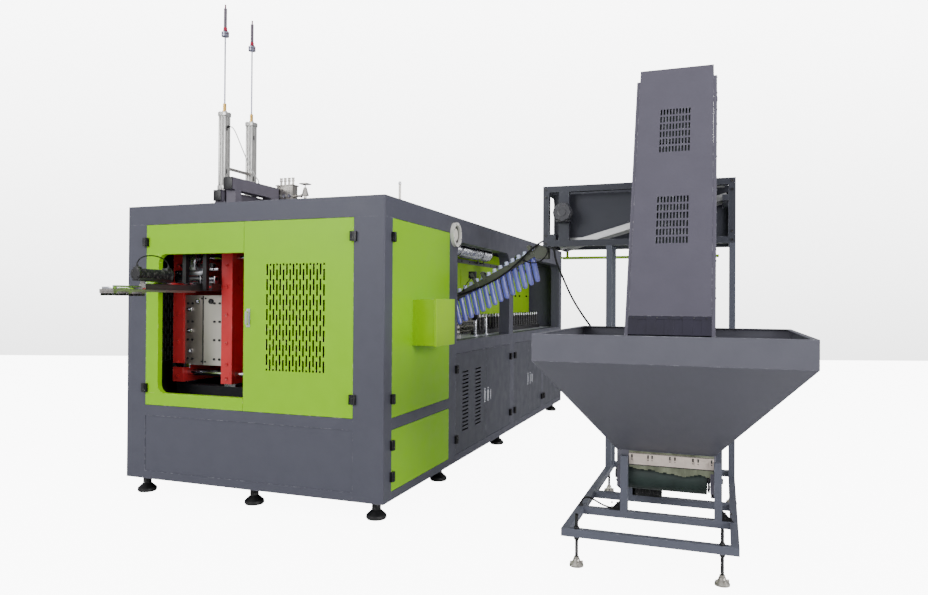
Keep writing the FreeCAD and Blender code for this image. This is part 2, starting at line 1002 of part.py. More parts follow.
def front_left_door():
    """C-shaped door: its window is open towards the meeting seam for the take-out arm."""
    depth = (front, front + s.front_door_thickness)
    left, right = left_door_edge + seam_half, s.door_seam - seam_half
    window_left = left_door_edge + s.window_left
    front_y, back_y = depth
    panel = [
        box("door_foot", (left, front_y, s.door_low + s.seam), (right, back_y, s.window_low)),
        box("door_head", (left, front_y, s.window_high), (right, back_y, header_low - s.seam)),
        box("door_side", (left, front_y, s.window_low), (window_left, back_y, s.window_high)),
    ]
    radius = s.window_radius
    for name, corner, centre in (
        ("low_web", s.window_low, s.window_low + radius),
        ("high_web", s.window_high - radius, s.window_high - radius),
    ):
        blank = box(name, (window_left, front_y, corner), (window_left + radius, back_y, corner + radius))
        bend = cylinder(
            name + "_bend",
            radius,
            (window_left + radius, front_y, centre),
            s.front_door_thickness,
            "Y",
        )
        panel.append(cut(name + "_cut", blank, bend))
    leaves = [
        front_leaf("front_left_leaf", left_door_edge, 1, z)
        for z in (s.door_low + s.hinge_inset, header_low - s.hinge_inset)
    ]
    return node("front_left_door", group("front_left_pieces", [*panel, *leaves]))


def front_right_door():
    """Door with the staggered vent slots and the chrome pull beside the seam."""
    depth = (front, front + s.front_door_thickness)
    panel = door_body(
        "front_right_panel", "XZ_Plane", (s.door_seam, right_door_edge), (s.door_low, header_low), depth
    )
    start = (s.vent_start, front - s.seam, s.vent_low)
    through = float(s.front_door_thickness + s.seam * 2)
    cutters = slot_cutters(
        "front_vents",
        start,
        s.vent_pitch,
        s.vent_row_pitch,
        (s.vent_columns, s.vent_rows),
        (s.slot_width, s.slot_length),
        (0.0, through),
    )
    vented = cut("front_right_vented", panel, cutters)
    leaves = [
        front_leaf("front_right_leaf", right_door_edge, -1, z)
        for z in (s.door_low + s.hinge_inset, header_low - s.hinge_inset)
    ]
    centre = s.door_seam + s.handle_offset
    handle = pull_handle("front_handle", "XZ_Plane", centre, s.handle_height - s.handle_length / 2, front)
    return node("front_right_door", group("front_right_pieces", [vented, *leaves, handle]))


def side_doors():
    """Upper and lower green doors on the cabinet's right side."""
    span = (cabinet_front, cabinet_back)
    depth = (half - s.side_door_thickness, half)
    for name, levels, inset in (
        ("side_upper_door", (s.door_low, header_low), s.hinge_inset),
        ("side_lower_door", (sill_top, s.middle_rail_low), s.low_hinge_inset),
    ):
        panel = door_body(name + "_panel", "YZ_Plane", span, levels, depth)
        leaves = [
            side_leaf(name + "_leaf", cabinet_front, 1, z) for z in (levels[0] + inset, levels[1] - inset)
        ]
        node(name, group(name + "_pieces", [panel, *leaves]))


def control_box():
    """Control box on the upper side door, with a folded lid a little larger than its body."""
    start = cabinet_front + s.control_start
    end = start + s.control_width
    low = s.control_low
    high = low + s.control_height
    lid = s.hinge_depth
    lip = s.panel_recess
    case = body("control_case")
    face = rectangle((start + lip, low + lip), (end - lip, high - lip))
    pad(case, "YZ_Plane", face, half, half + s.control_depth - lid)
    cover = body("control_lid")
    lid_face = rectangle((start, low), (end, high))
    pad(cover, "YZ_Plane", lid_face, half + s.control_depth - lid, half + s.control_depth)
    round_edges(cover, lip, lambda edge: near(edge, x=half + s.control_depth))
    return node("control_box", fuse("control_box_shape", case, cover))


OVEN_DOORS = (
    ("oven_door_1", "oven_door_one", "oven_seam_one", 1),
    ("oven_door_2", "oven_seam_one", "oven_door_one_end", -1),
    ("oven_door_3", "oven_door_two", "oven_seam_two", 1),
    ("oven_door_4", "oven_seam_two", "oven_door_two_end", -1),
    ("oven_door_5", "oven_door_three", "oven_seam_three", 1),
    ("oven_door_6", "oven_seam_three", "oven_door_three_end", -1),
)


def oven_doors():
    """Three pairs of base doors below the oven; the first one has louvres."""
    depth = (half - s.side_door_thickness, half)
    levels = (s.oven_door_low, table_low)
    for name, start_name, end_name, outward in OVEN_DOORS:
        start = front + getattr(s, start_name)
        end = front + getattr(s, end_name)
        panel = door_body(name + "_panel", "YZ_Plane", (start, end), levels, depth)
        if name == "oven_door_1":
            for column in (0, 1):
                y = start + s.louvre_start + s.louvre_step * column
                corners = rectangle((y, s.louvre_low), (y + s.louvre_width, s.louvre_low + s.louvre_height))
                slot = pocket(panel, "YZ_Plane", corners, *depth)
                repeat(panel, slot, "Z", s.louvre_pitch, s.louvre_count)
        hinge_y = start if outward > 0 else end
        seam_y = end if outward > 0 else start
        leaves = [
            side_leaf(name + "_leaf", hinge_y, outward, z)
            for z in (levels[0] + s.hinge_inset, levels[1] - s.hinge_inset)
        ]
        centre = seam_y - outward * s.oven_handle_offset
        handle = pull_handle(name + "_handle", "YZ_Plane", centre, s.oven_handle_low, half)
        node(name, group(name + "_pieces", [panel, *leaves, handle]))


def hinge_leaves():
    """The frame's halves of all door hinges."""
    leaves = []
    for z in (s.door_low + s.hinge_inset, header_low - s.hinge_inset):
        leaves.append(front_leaf("frame_leaf", left_door_edge, -1, z))
        leaves.append(front_leaf("frame_leaf", right_door_edge, 1, z))
        leaves.append(side_leaf("frame_leaf", cabinet_front, -1, z))
    for z in (sill_top + s.low_hinge_inset, s.middle_rail_low - s.low_hinge_inset):
        leaves.append(side_leaf("frame_leaf", cabinet_front, -1, z))
    for name, start_name, end_name, outward in OVEN_DOORS:
        hinge_y = front + getattr(s, start_name if outward > 0 else end_name)
        for z in (s.oven_door_low + s.hinge_inset, table_low - s.hinge_inset):
            leaves.append(side_leaf("frame_leaf", hinge_y, -outward, z))
    return node("hinge_leaves", group("hinge_leaf_pieces", leaves))


front_left_door()
front_right_door()
side_doors()
control_box()
oven_doors()
hinge_leaves()


# Clamp: stations along X from the mould's parting plane, and levels of the platens.
platen_y = front + s.platen_start
platen_end = platen_y + s.platen_length
fixed_inner = s.mould_parting - s.mould_thickness
fixed_outer = fixed_inner - s.platen_thickness
moving_inner = s.mould_parting + s.mould_thickness
moving_outer = moving_inner + s.platen_thickness
toggle_inner = moving_outer + s.clamp_stroke + s.clamp_clearance
toggle_outer = toggle_inner + s.toggle_plate_thickness
mould_y = front + s.mould_start
mould_top = s.mould_low + s.mould_height
ram_y = platen_y + s.platen_length / 2
ram_z = s.mould_low + s.mould_height / 2
rail_top = s.platen_low - s.shoe_height


def ring(name, outer, bore, start, length, axis="Z"):
    """A round collar with its bore."""
    inside = cylinder(name + "_bore", bore, start, length, axis)
    return cut(name, cylinder(name + "_outer", outer, start, length, axis), inside)


def tie_places():
    """The four tie bar axes as Y and Z."""
    sides = (platen_y + s.tie_inset, platen_end - s.tie_inset)
    return [(y, z) for y in sides for z in (s.tie_low, s.tie_high)]


def platen(name, x_low, x_high, bore_ram=False):
    """A clamp plate bored for the tie bars and, on request, for the ram."""
    plate = box(name, (x_low, platen_y, s.platen_low), (x_high, platen_end, s.platen_high))
    width = size(x_high) - x_low
    bores = [
        cylinder(name + "_tie_bore", s.tie_radius + s.running_gap, (x_low, y, z), width, "X")
        for y, z in tie_places()
    ]
    if bore_ram:
        radius = s.ram_radius + s.running_gap
        bores.append(cylinder(name + "_ram_bore", radius, (x_low, ram_y, ram_z), width, "X"))
    return cut(name + "_bored", plate, *bores)


def clamp():
    """Fixed platen, toggle plate, moving platen, tie bars, base rails, shoes and ram."""
    fixed = platen("fixed_plate", fixed_outer, fixed_inner)
    toggle = platen("toggle_plate", toggle_inner, toggle_outer, bore_ram=True)
    node("fixed_platens", group("fixed_plates", [fixed, toggle]))
    node("moving_platen", platen("moving_plate", moving_inner, moving_outer))
    bars = []
    for number, (y, z) in enumerate(tie_places(), start=1):
        start = fixed_outer - s.tie_nut
        length = toggle_outer - fixed_outer + s.tie_nut * 2
        bar = cylinder(f"tie_bar_{number}", s.tie_radius, (start, y, z), length, "X")
        left = cylinder(f"tie_nut_left_{number}", s.tie_nut, (start, y, z), s.tie_nut, "X")
        right = cylinder(f"tie_nut_right_{number}", s.tie_nut, (toggle_outer, y, z), s.tie_nut, "X")
        bars.append(fuse(f"tie_{number}", bar, left, right))
    node("tie_bars", group("tie_bar_pieces", bars))
    black = [machine_bed()]
    silver = []
    for y in (platen_y + s.clamp_rail_inset, platen_end - s.clamp_rail_inset - s.clamp_rail_width):
        y_end = y + s.clamp_rail_width
        black.append(box("clamp_rail", (fixed_outer, y, s.door_low), (toggle_outer, y_end, rail_top)))
        for x_low, x_high in ((fixed_outer, fixed_inner), (toggle_inner, toggle_outer)):
            black.append(box("plate_foot", (x_low, y, rail_top), (x_high, y_end, s.platen_low)))
        silver.append(box("shoe", (moving_inner, y, rail_top), (moving_outer, y_end, s.platen_low)))
    radius = s.clamp_cylinder_radius
    length = s.clamp_cylinder_length
    case = cylinder("clamp_case", radius, (toggle_outer, ram_y, ram_z), length, "X")
    bore = cylinder(
        "clamp_case_bore",
        s.ram_radius + s.running_gap,
        (toggle_outer, ram_y, ram_z),
        length - s.cylinder_wall,
        "X",
    )
    black.append(cut("clamp_cylinder", case, bore))
    reach = toggle_outer + length - s.cylinder_wall * 2 - s.clamp_stroke - moving_outer
    silver.append(cylinder("ram", s.ram_radius, (moving_outer, ram_y, ram_z), reach, "X"))
    node("clamp_base", group("clamp_base_pieces", black))
    node("clamp_ram", group("clamp_ram_pieces", silver))


def cavity(number):
    """The bottle form and its neck bore, as one cutting solid."""
    y = cavity_line(number)
    floor = s.mould_low + s.cavity_floor
    shoulder = mould_top - s.neck_height - s.shoulder_height
    bottle = cylinder(f"bottle_{number}", s.cavity_radius, (s.mould_parting, y, floor), shoulder - floor)
    cone = doc.addObject("Part::Cone", f"shoulder_{number}")
    bind(cone, "Radius1", s.cavity_radius)
    bind(cone, "Radius2", s.neck_radius)
    bind(cone, "Height", s.shoulder_height)
    place(cone, (s.mould_parting, y, shoulder))
    neck_low = shoulder + s.shoulder_height
    neck = cylinder(f"neck_{number}", s.neck_radius, (s.mould_parting, y, neck_low), s.neck_height)
    return fuse(f"cavity_{number}", bottle, cone, neck)


def moulds():
    """Two mould halves with half of each bottle cavity."""
    for name, x_low, x_high in (
        ("mould_left", fixed_inner, s.mould_parting - s.mould_gap / 2),
        ("mould_right", s.mould_parting + s.mould_gap / 2, moving_inner),
    ):
        block = box(
            name + "_block",
            (x_low, mould_y, s.mould_low),
            (x_high, mould_y + s.mould_length, mould_top),
        )
        node(name, cut(name + "_half", block, cavity(1), cavity(2)))


# Stretch units on the roof, above the cavities.
beam_low = top + s.beam_lift
beam_top = beam_low + s.roof_beam_height
upper_low = s.mould_parting + s.upper_beam_offset


def stretch_units():
    """Cylinders with end caps and bushings, and the rods that pass through them."""
    half_size = s.cylinder_size / 2
    bore = s.rod_radius + s.running_gap
    fixed = []
    for number in (1, 2):
        x, y = s.mould_parting, cavity_line(number)
        rod_bore = cylinder(f"rod_bore_{number}", bore, (x, y, beam_low), s.rod_high - beam_low)
        slim = half_size - s.panel_recess
        levels = (
            ("foot_cap", half_size, beam_top, s.cylinder_low + s.cap_height),
            ("profile", slim, s.cylinder_low + s.cap_height, s.cylinder_high - s.cap_height),
            ("head_cap", half_size, s.cylinder_high - s.cap_height, s.cylinder_high),
        )
        for part_name, reach, low, high in levels:
            block = box(f"{part_name}_{number}", (x - reach, y - reach, low), (x + reach, y + reach, high))
            fixed.append(cut(f"{part_name}_bored_{number}", block, rod_bore))
        fixed.append(
            ring(f"bushing_{number}", s.bushing_radius, bore, (x, y, s.cylinder_high), s.bushing_height)
        )
        rod = cylinder(f"rod_{number}", s.rod_radius, (x, y, s.rod_low), s.rod_high - s.rod_low)
        knob_two = s.knob_low + s.knob_height + s.knob_gap
        collars = [
            ring(f"knob_{number}", s.knob_radius, s.rod_radius, (x, y, s.knob_low), s.knob_height),
            ring(f"lock_knob_{number}", s.knob_radius, s.rod_radius, (x, y, knob_two), s.knob_height),
            ring(f"collar_{number}", s.bushing_radius, s.rod_radius, (x, y, s.sleeve_low), s.collar_height),
            ring(
                f"sleeve_{number}",
                s.sleeve_radius,
                s.rod_radius,
                (x, y, s.sleeve_low + s.collar_height),
                s.sleeve_high - s.sleeve_low - s.collar_height,
            ),
        ]
        node(f"stretch_rod_{number}", group(f"stretch_rod_pieces_{number}", [rod, *collars]))
    node("stretch_cylinders", group("stretch_cylinder_pieces", fixed))


def roof_beams():
    """Beams and standing blocks that carry the stretch units over the roof."""
    x, reach = s.mould_parting, s.cylinder_size / 2
    start = front + s.roof_beam_front
    lower = box("lower_beam", (x - reach, start, beam_low), (x + reach, front + s.roof_beam_back, beam_top))
    pieces = [lower]
    for number in (1, 2):
        y = cavity_line(number)
        hole = s.rod_radius + s.rod_clearance
        wide = s.mount_block_width / 2
        block = box(f"stand_{number}", (x - wide, y - wide, top), (x + wide, y + wide, beam_low))
        tool = cylinder(f"stand_hole_{number}", hole, (x, y, top), s.beam_lift + s.roof_beam_height)
        pieces.append(cut(f"stand_bored_{number}", block, tool))
        pieces[0] = cut(f"lower_beam_{number}", pieces[0], tool)
    end = front + s.upper_beam_back
    upper_high = upper_low + s.upper_beam_width
    pieces.append(
        box("upper_beam", (upper_low, start, beam_top), (upper_high, end, beam_top + s.upper_beam_height))
    )
    for number, y in enumerate((start + reach, end - reach * 3), start=1):
        low = (upper_low, y, top)
        pieces.append(box(f"upper_stand_{number}", low, (upper_high, y + reach * 2, beam_top)))
    return node("roof_beams", group("roof_beam_pieces", pieces))


def roof_fittings():
    """Valve manifold, its fittings, the silencer, the link plate and the edge pipe."""
    x = s.mould_parting + s.manifold_offset
    y = front + s.manifold_start
    manifold_top = top + s.manifold_height
    x_end = x + s.manifold_width
    y_end = y + s.manifold_depth
    reach = s.cylinder_size / 2
    cap = s.panel_recess * 2
    pieces = [
        box("manifold", (x, y, top), (x_end, y_end, manifold_top - cap)),
        box(
            "manifold_cap",
            (x - cap, y - cap, manifold_top - cap),
            (x_end + cap, y_end + cap, manifold_top),
        ),
    ]
    for number in range(4):
        place_x = x + s.manifold_width * (number + 0.5) / 4
        centre = (place_x, y + s.manifold_depth / 2, manifold_top)
        pieces.append(cylinder(f"fitting_{number}", s.rod_radius * 1.5, centre, s.cap_height))
    whistle_x = s.mould_parting + s.whistle_offset
    whistle_y = y + s.manifold_depth / 2
    radius = s.whistle_radius
    silencer = body("silencer")
    profile = [
        (0, 0),
        (radius * 0.8, 0),
        (radius * 0.8, radius),
        (radius * 0.4, radius * 1.3),
        (radius * 0.4, s.manifold_height - radius * 3),
        (radius, s.manifold_height - radius * 3),
        (radius * 0.4, s.manifold_height - radius * 0.8),
        (radius * 0.15, s.manifold_height - radius * 0.8),
        (radius * 0.15, s.manifold_height),
        (0, s.manifold_height),
    ]
    turned(silencer, profile, (whistle_x, whistle_y, top))
    pieces.append(silencer)
    link_low = (s.mould_parting - reach / 2, cavity_line(1) + reach - s.panel_recess, s.link_height)
    link_high = (
        s.mould_parting + reach / 2,
        cavity_line(2) - reach + s.panel_recess,
        s.link_height + s.knob_height,
    )
    pieces.append(box("link_plate", link_low, link_high))
    pipe_y = cabinet_front + s.control_box_offset
    pieces.append(cylinder("edge_pipe", s.pipe_radius, (s.pipe_offset, pipe_y, top), s.pipe_height))
    return node("roof_fittings", group("roof_fitting_pieces", pieces))


# Take-out arm: levels from the gripper plate upwards.
arm_x = s.arm_centre
arm_front = front - s.arm_reach
plate_top = s.arm_plate_low + s.arm_plate_thickness
bar_top = plate_top + s.arm_bar_height
arm_rail_top = bar_top + s.arm_rail_height
carriage_y = front + s.carriage_start
carriage_low = s.guide_height - s.carriage_half_height
carriage_high = s.guide_height + s.carriage_half_height


def takeout_slide():
    """Portal hangers under the headers and the two guide rods between them."""
    outer = s.hanger_leg_outer
    opening = s.hanger_leg_inner
    hangers = []
    for name, start in (("front", cabinet_front), ("rear", cabinet_back - s.hanger_thickness)):
        end = start + s.hanger_thickness
        plate_low = (arm_x - outer, start, s.hanger_arch)
        hangers.append(box(name + "_hanger", plate_low, (arm_x + outer, end, top - s.roof_thickness)))
        for x_low, x_high in ((-outer, -opening), (opening, outer)):
            low = (arm_x + x_low, start, carriage_low)
            hangers.append(box(name + "_leg", low, (arm_x + x_high, end, s.hanger_arch)))
    rods = []
    for sign in (-1, 1):
        start = (arm_x + s.guide_offset * sign, cabinet_front + s.hanger_thickness, s.guide_height)
        length = cabinet_back - cabinet_front - s.hanger_thickness * 2
        rods.append(cylinder("guide_rod", s.guide_radius, start, length, "Y"))
    return node("takeout_slide", group("takeout_slide_pieces", hangers + rods))


def takeout_arm():
    """Carriage, bar, rail strip, gripper plate and its fingers."""
    outer = s.hanger_leg_outer
    carriage_end = carriage_y + s.carriage_length
    carriage = box(
        "carriage",
        (arm_x - outer, carriage_y, carriage_low),
        (arm_x + outer, carriage_end, carriage_high),
    )
    bores = [
        cylinder(
            "guide_bore",
            s.guide_radius + s.running_gap,
            (arm_x + s.guide_offset * sign, carriage_y, s.guide_height),
            s.carriage_length,
            "Y",
        )
        for sign in (-1, 1)
    ]
    half_bar = s.arm_bar_width / 2
    half_rail = s.arm_rail_width / 2
    half_plate = s.arm_plate_width / 2
    bar_start = front - s.arm_bar_front
    plate_end = front + s.arm_plate_back
    plate = box(
        "gripper_plate",
        (arm_x - half_plate, arm_front, s.arm_plate_low),
        (arm_x + half_plate, plate_end, plate_top),
    )
    bar = box("arm_bar", (arm_x - half_bar, bar_start, plate_top), (arm_x + half_bar, carriage_y, bar_top))
    strip = box(
        "arm_rail",
        (arm_x - half_rail, bar_start, bar_top),
        (arm_x + half_rail, carriage_y, arm_rail_top),
    )
    pieces = [cut("carriage_bored", carriage, *bores), plate, bar, strip]
    for number in range(3):
        y = arm_front + s.finger_length * (number * 1.6 + 0.2)
        low = (arm_x - half_plate - s.finger_width, y, s.arm_plate_low - s.finger_width * 0.8)
        high = (arm_x + half_plate - s.finger_width, y + s.finger_length * 0.4, s.arm_plate_low)
        pieces.append(box(f"finger_{number}", low, high))
    return node("takeout_arm", group("takeout_arm_pieces", pieces))


def takeout_actuator():
    """Round pneumatic actuator lying on the rail strip, with end caps and a hose port."""
    start = front - s.actuator_front
    centre = arm_rail_top + s.actuator_radius
    radius = s.actuator_radius
    cap = s.cap_height
    tube = cylinder(
        "actuator_tube",
        radius - s.panel_recess,
        (arm_x, start, centre),
        s.actuator_length,
        "Y",
    )
    nose = cylinder("actuator_nose", radius, (arm_x, start, centre), cap, "Y")
    tail = cylinder("actuator_tail", radius, (arm_x, start + s.actuator_length - cap, centre), cap, "Y")
    port_y = start + s.actuator_length - cap / 2
    port = cylinder("actuator_port", s.rod_radius * 1.4, (arm_x, port_y, centre), radius + s.knob_height)
    front_port = cylinder(
        "front_port",
        s.rod_radius * 1.4,
        (arm_x, start + cap / 2, centre),
        radius + s.knob_height,
    )
    saddle_low = (arm_x - s.arm_rail_width / 2, start + cap, arm_rail_top)
    saddle_high = (arm_x + s.arm_rail_width / 2, start + s.actuator_length - cap, centre)
    saddle = box("actuator_saddle", saddle_low, saddle_high)
    return node("takeout_actuator", fuse("actuator", tube, nose, tail, port, front_port, saddle))


clamp()
moulds()
stretch_units()
roof_beams()
roof_fittings()
takeout_slide()
takeout_arm()
takeout_actuator()


# Oven: a lined hood over lamp banks, with a spindle track beside it on the table.
casing_y = front + s.oven_casing_start
casing_end = back - s.oven_post_thickness
casing_outer = s.oven_casing_offset
casing_back = casing_outer - s.casing_depth
casing_high = s.casing_low + s.oven_casing_height


def oven_casing():
    """Green hood over the lamp banks: two side sheets and a top sheet."""
    wall = s.casing_wall
    side_top = casing_high - wall
    sheets = [
        box("hood_back", (casing_back, casing_y, s.casing_low), (casing_back + wall, casing_end, side_top)),
        box(
            "hood_front",
            (casing_outer - wall, casing_y, s.casing_low),
            (casing_outer, casing_end, side_top),
        ),
        box("hood_top", (casing_back, casing_y, side_top), (casing_outer, casing_end, casing_high)),
    ]
    return node("oven_casing", group("hood_sheets", sheets))


def lamp_bank():
    """Reflectors under the hood, quartz lamps on them, and the hook bar on the hood's face."""
    wall = s.casing_wall
    pieces = [
        box(
            "reflector",
            (casing_outer - wall, casing_y, s.table_height),
            (casing_outer, casing_end, s.casing_low),
        ),
        box(
            "inner_wall",
            (casing_back, casing_y, s.table_height),
            (casing_back + wall, casing_end, s.casing_low),
        ),
    ]
    for number in range(int(float(s.lamp_count))):
        z = s.casing_low - s.lamp_pitch * (number + 0.5)
        x = casing_outer + s.lamp_radius
        lamp = cylinder(f"lamp_{number}", s.lamp_radius, (x, casing_y, z), casing_end - casing_y, "Y")
        pieces.append(lamp)
    bar_high = s.lamp_bar_height + s.lamp_bar_size
    bar_outer = casing_outer + s.lamp_bar_size / 2
    pieces.append(
        box("hook_bar", (casing_outer, casing_y, s.lamp_bar_height), (bar_outer, casing_end, bar_high))
    )
    for name, station in (("hook_one", s.hook_one), ("hook_two", s.hook_two)):
        y = front + station
        hook = body(name)
        size_one = s.lamp_bar_size
        points = [
            (bar_outer, bar_high - s.hook_thickness),
            (bar_outer + size_one, bar_high - s.hook_thickness),
            (bar_outer + size_one, bar_high + s.hook_tip),
            (bar_outer + size_one + s.hook_thickness, bar_high + s.hook_tip),
            (bar_outer + size_one + s.hook_thickness, bar_high - s.hook_root),
            (bar_outer, bar_high - s.hook_root),
        ]
        pad(hook, "XZ_Plane", points, y, y + size_one / 2)
        pieces.append(hook)
    return node("lamp_bank", group("lamp_bank_pieces", pieces))


def spindle_chain():
    """Chain track on the table with the upright preform spindles."""
    start = front + s.spindle_start - s.spindle_pitch / 2
    count = int(float(s.spindle_count))
    end = start + s.spindle_pitch * count
    x = s.spindle_offset
    reach = s.track_width / 2
    track_top = s.table_height + s.chain_height
    track = box("track", (x - reach, start, s.table_height), (x + reach, end, track_top))
    first = front + s.spindle_start
    spindle = cylinder("spindle", s.spindle_radius, (x, first, track_top), s.spindle_height)
    steps = [(0, s.spindle_pitch * number, 0) for number in range(count)]
    return node("spindle_chain", group("spindle_chain_pieces", [track, copies("spindles", spindle, steps)]))


def air_ducts():
    """Foil duct under the roof with its straps, and the duct flange on the casing's side."""
    x, z = s.duct_offset, s.duct_height
    start = front + s.duct_start
    length = s.duct_end - s.duct_start
    duct = ring("duct", s.duct_radius, s.duct_radius - s.duct_wall, (x, start, z), length, "Y")
    pieces = [duct]
    roof_low = top - s.roof_thickness
    for number, share in enumerate((0.25, 0.75), start=1):
        y = start + length * share
        clamp_ring = ring(
            f"duct_ring_{number}",
            s.duct_radius + s.panel_recess,
            s.duct_radius,
            (x, y, z),
            s.strap_width,
            "Y",
        )
        low = (x - s.strap_width / 2, y, z + s.duct_radius + s.panel_recess / 2)
        strap = box(f"duct_strap_{number}", low, (x + s.strap_width / 2, y + s.strap_width, roof_low))
        pieces.append(fuse(f"duct_hanger_{number}", clamp_ring, strap))
    centre = (half, front + s.flange_centre, s.flange_height)
    flange = cylinder("flange_disc", s.flange_radius, centre, s.flange_length, "X")
    mouth = (half + s.panel_recess, front + s.flange_centre, s.flange_height)
    bore = cylinder("flange_bore", s.flange_bore, mouth, s.flange_length, "X")
    pieces.append(cut("duct_flange", flange, bore))
    return node("air_ducts", group("air_duct_pieces", pieces))


def blower():
    """Round blower at the duct's end, hung from the roof, with its motor behind."""
    x, z = s.duct_offset, s.duct_height
    end = front + s.duct_start
    start = end - s.blower_length
    case = cylinder("blower_case", s.blower_radius, (x, start, z), s.blower_length, "Y")
    low = (x - s.strap_width / 2, start + s.strap_width, z)
    strap = box("blower_strap", low, (x + s.strap_width / 2, end - s.strap_width, top - s.roof_thickness))
    return node("blower", fuse("blower_shape", case, strap))


# Preform rail: its own frame starts at the upper end, runs down to the left, and keeps
# its third axis square to the rail.
rail_angle = math.radians(float(s.rail_slope))
rail_along = FreeCAD.Vector(-math.cos(rail_angle), 0, -math.sin(rail_angle))
rail_up = FreeCAD.Vector(-math.sin(rail_angle), 0, math.cos(rail_angle))
rail_turn = FreeCAD.Rotation(rail_along, FreeCAD.Vector(0, -1, 0), rail_up, "XYZ")
rail_origin = (s.rail_top_offset, front + s.rail_centre, s.rail_top_height)
rail_gap = s.preform_radius + s.panel_recess / 2
rail_outer = rail_gap + s.rail_bar_thickness


def feed_rail():
    """Two rail bars with arched ties, end brackets, table columns and the sensor."""
    pieces = []
    for sign in (-1, 1):
        low, high = sorted((rail_gap * sign, rail_outer * sign), key=float)
        pieces.append(box("rail_bar", (0, low, -s.rail_bar_height), (s.rail_run, high, 0)))
    thick = s.rail_tie_thickness
    tie_outer = rail_outer + thick
    for number, share in enumerate((0.08, 0.5, 0.93), start=1):
        u = s.rail_run * share
        u_end = u + s.rail_tie_width
        height = s.rail_tie_height
        blank = box(f"tie_blank_{number}", (u, -tie_outer, -height / 2), (u_end, tie_outer, height))
        gap = box(f"tie_gap_{number}", (u, -rail_outer, -height / 2), (u_end, rail_outer, height - thick))
        pieces.append(cut(f"rail_tie_{number}", blank, gap))
    u = s.sensor_place
    bracket_high = s.sensor_height + s.sensor_size
    end = u + s.rail_tie_width
    pieces.append(box("sensor_bracket", (u, rail_outer, -s.sensor_size), (end, tie_outer, bracket_high)))
    sensor_low = (u - thick, 0, s.sensor_height)
    pieces.append(box("sensor", sensor_low, (u + s.sensor_size, rail_outer, bracket_high)))
    tilted = group("rail_pieces", pieces)
    place(tilted, rail_origin, rail_turn)
    y = front + s.rail_centre
    level = []
    column_x = s.rail_top_offset + float(rail_along.x) * (s.rail_run - s.rail_column * 2)
    column_top = s.rail_top_height + float(rail_along.z) * (s.rail_run - s.rail_column * 2)
    for sign in (-1, 1):
        y_low, y_high = sorted((y + rail_outer * sign, y + tie_outer * sign), key=float)
        bracket_low = (s.sorter_left - s.rail_bracket, y_low, s.sorter_low - s.rail_bracket * 0.75)
        bracket_top = (s.sorter_left, y_high, s.sorter_low + s.sorter_tube / 2)
        level.append(box("rail_bracket", bracket_low, bracket_top))
        column_low = (column_x - s.rail_column, y_low, s.table_height)
        level.append(box("rail_column", column_low, (column_x, y_high, column_top)))
    return node("feed_rail", group("feed_rail_pieces", [tilted, *level]))


def preforms():
    """Row of preforms hanging by their neck rings between the rail bars."""
    radius = s.preform_radius
    neck = radius * 0.67
    blank = body("preform")
    profile = [
        (0, -s.preform_length),
        (radius * 0.5, -s.preform_length),
        (radius * 0.86, -s.preform_length + radius * 0.5),
        (radius * 0.95, -s.preform_length + radius),
        (radius, -s.preform_neck),
        (neck, 0),
        (s.preform_ring, 0),
        (s.preform_ring, s.preform_ring_height),
        (neck, s.preform_ring_height),
        (neck, s.preform_neck),
        (0, s.preform_neck),
    ]
    turned(blank, profile, (0, 0, 0))
    doc.recompute()
    lean = float(s.rail_slope) - float(s.preform_lean)
    reach = math.sqrt(float(s.preform_ring) ** 2 - float(rail_gap) ** 2)
    lift = reach * math.sin(math.radians(lean)) + float(s.fit_gap)
    turn = FreeCAD.Rotation(Y_AXIS, -float(s.preform_lean))
    solids = []
    for number in range(int(float(s.preform_count))):
        run = float(s.preform_start) + float(s.preform_pitch) * number
        centre = vector(*rail_origin) + rail_along * run + rail_up * lift
        solid = blank.Shape.copy()
        solid.Placement = FreeCAD.Placement(centre, turn)
        solids.append(solid)
    return node("preforms", shape("preform_row", Part.makeCompound(solids)))


oven_casing()
lamp_bank()
spindle_chain()
air_ducts()
blower()
feed_rail()
preforms()


# Sorter: a tube frame on legs that holds a sloping trough with two rollers.
sorter_y = front + s.sorter_start
sorter_back = sorter_y + s.sorter_depth
sorter_top = s.sorter_low + s.sorter_height
tube = s.sorter_tube
roller_y = front + s.rail_centre
roller_turn = FreeCAD.Rotation(Y_AXIS, -float(s.roller_slope))
roller_origin = (s.sorter_left + s.roller_start, roller_y, s.roller_height)
beam_top_level = s.base_low + s.base_tube


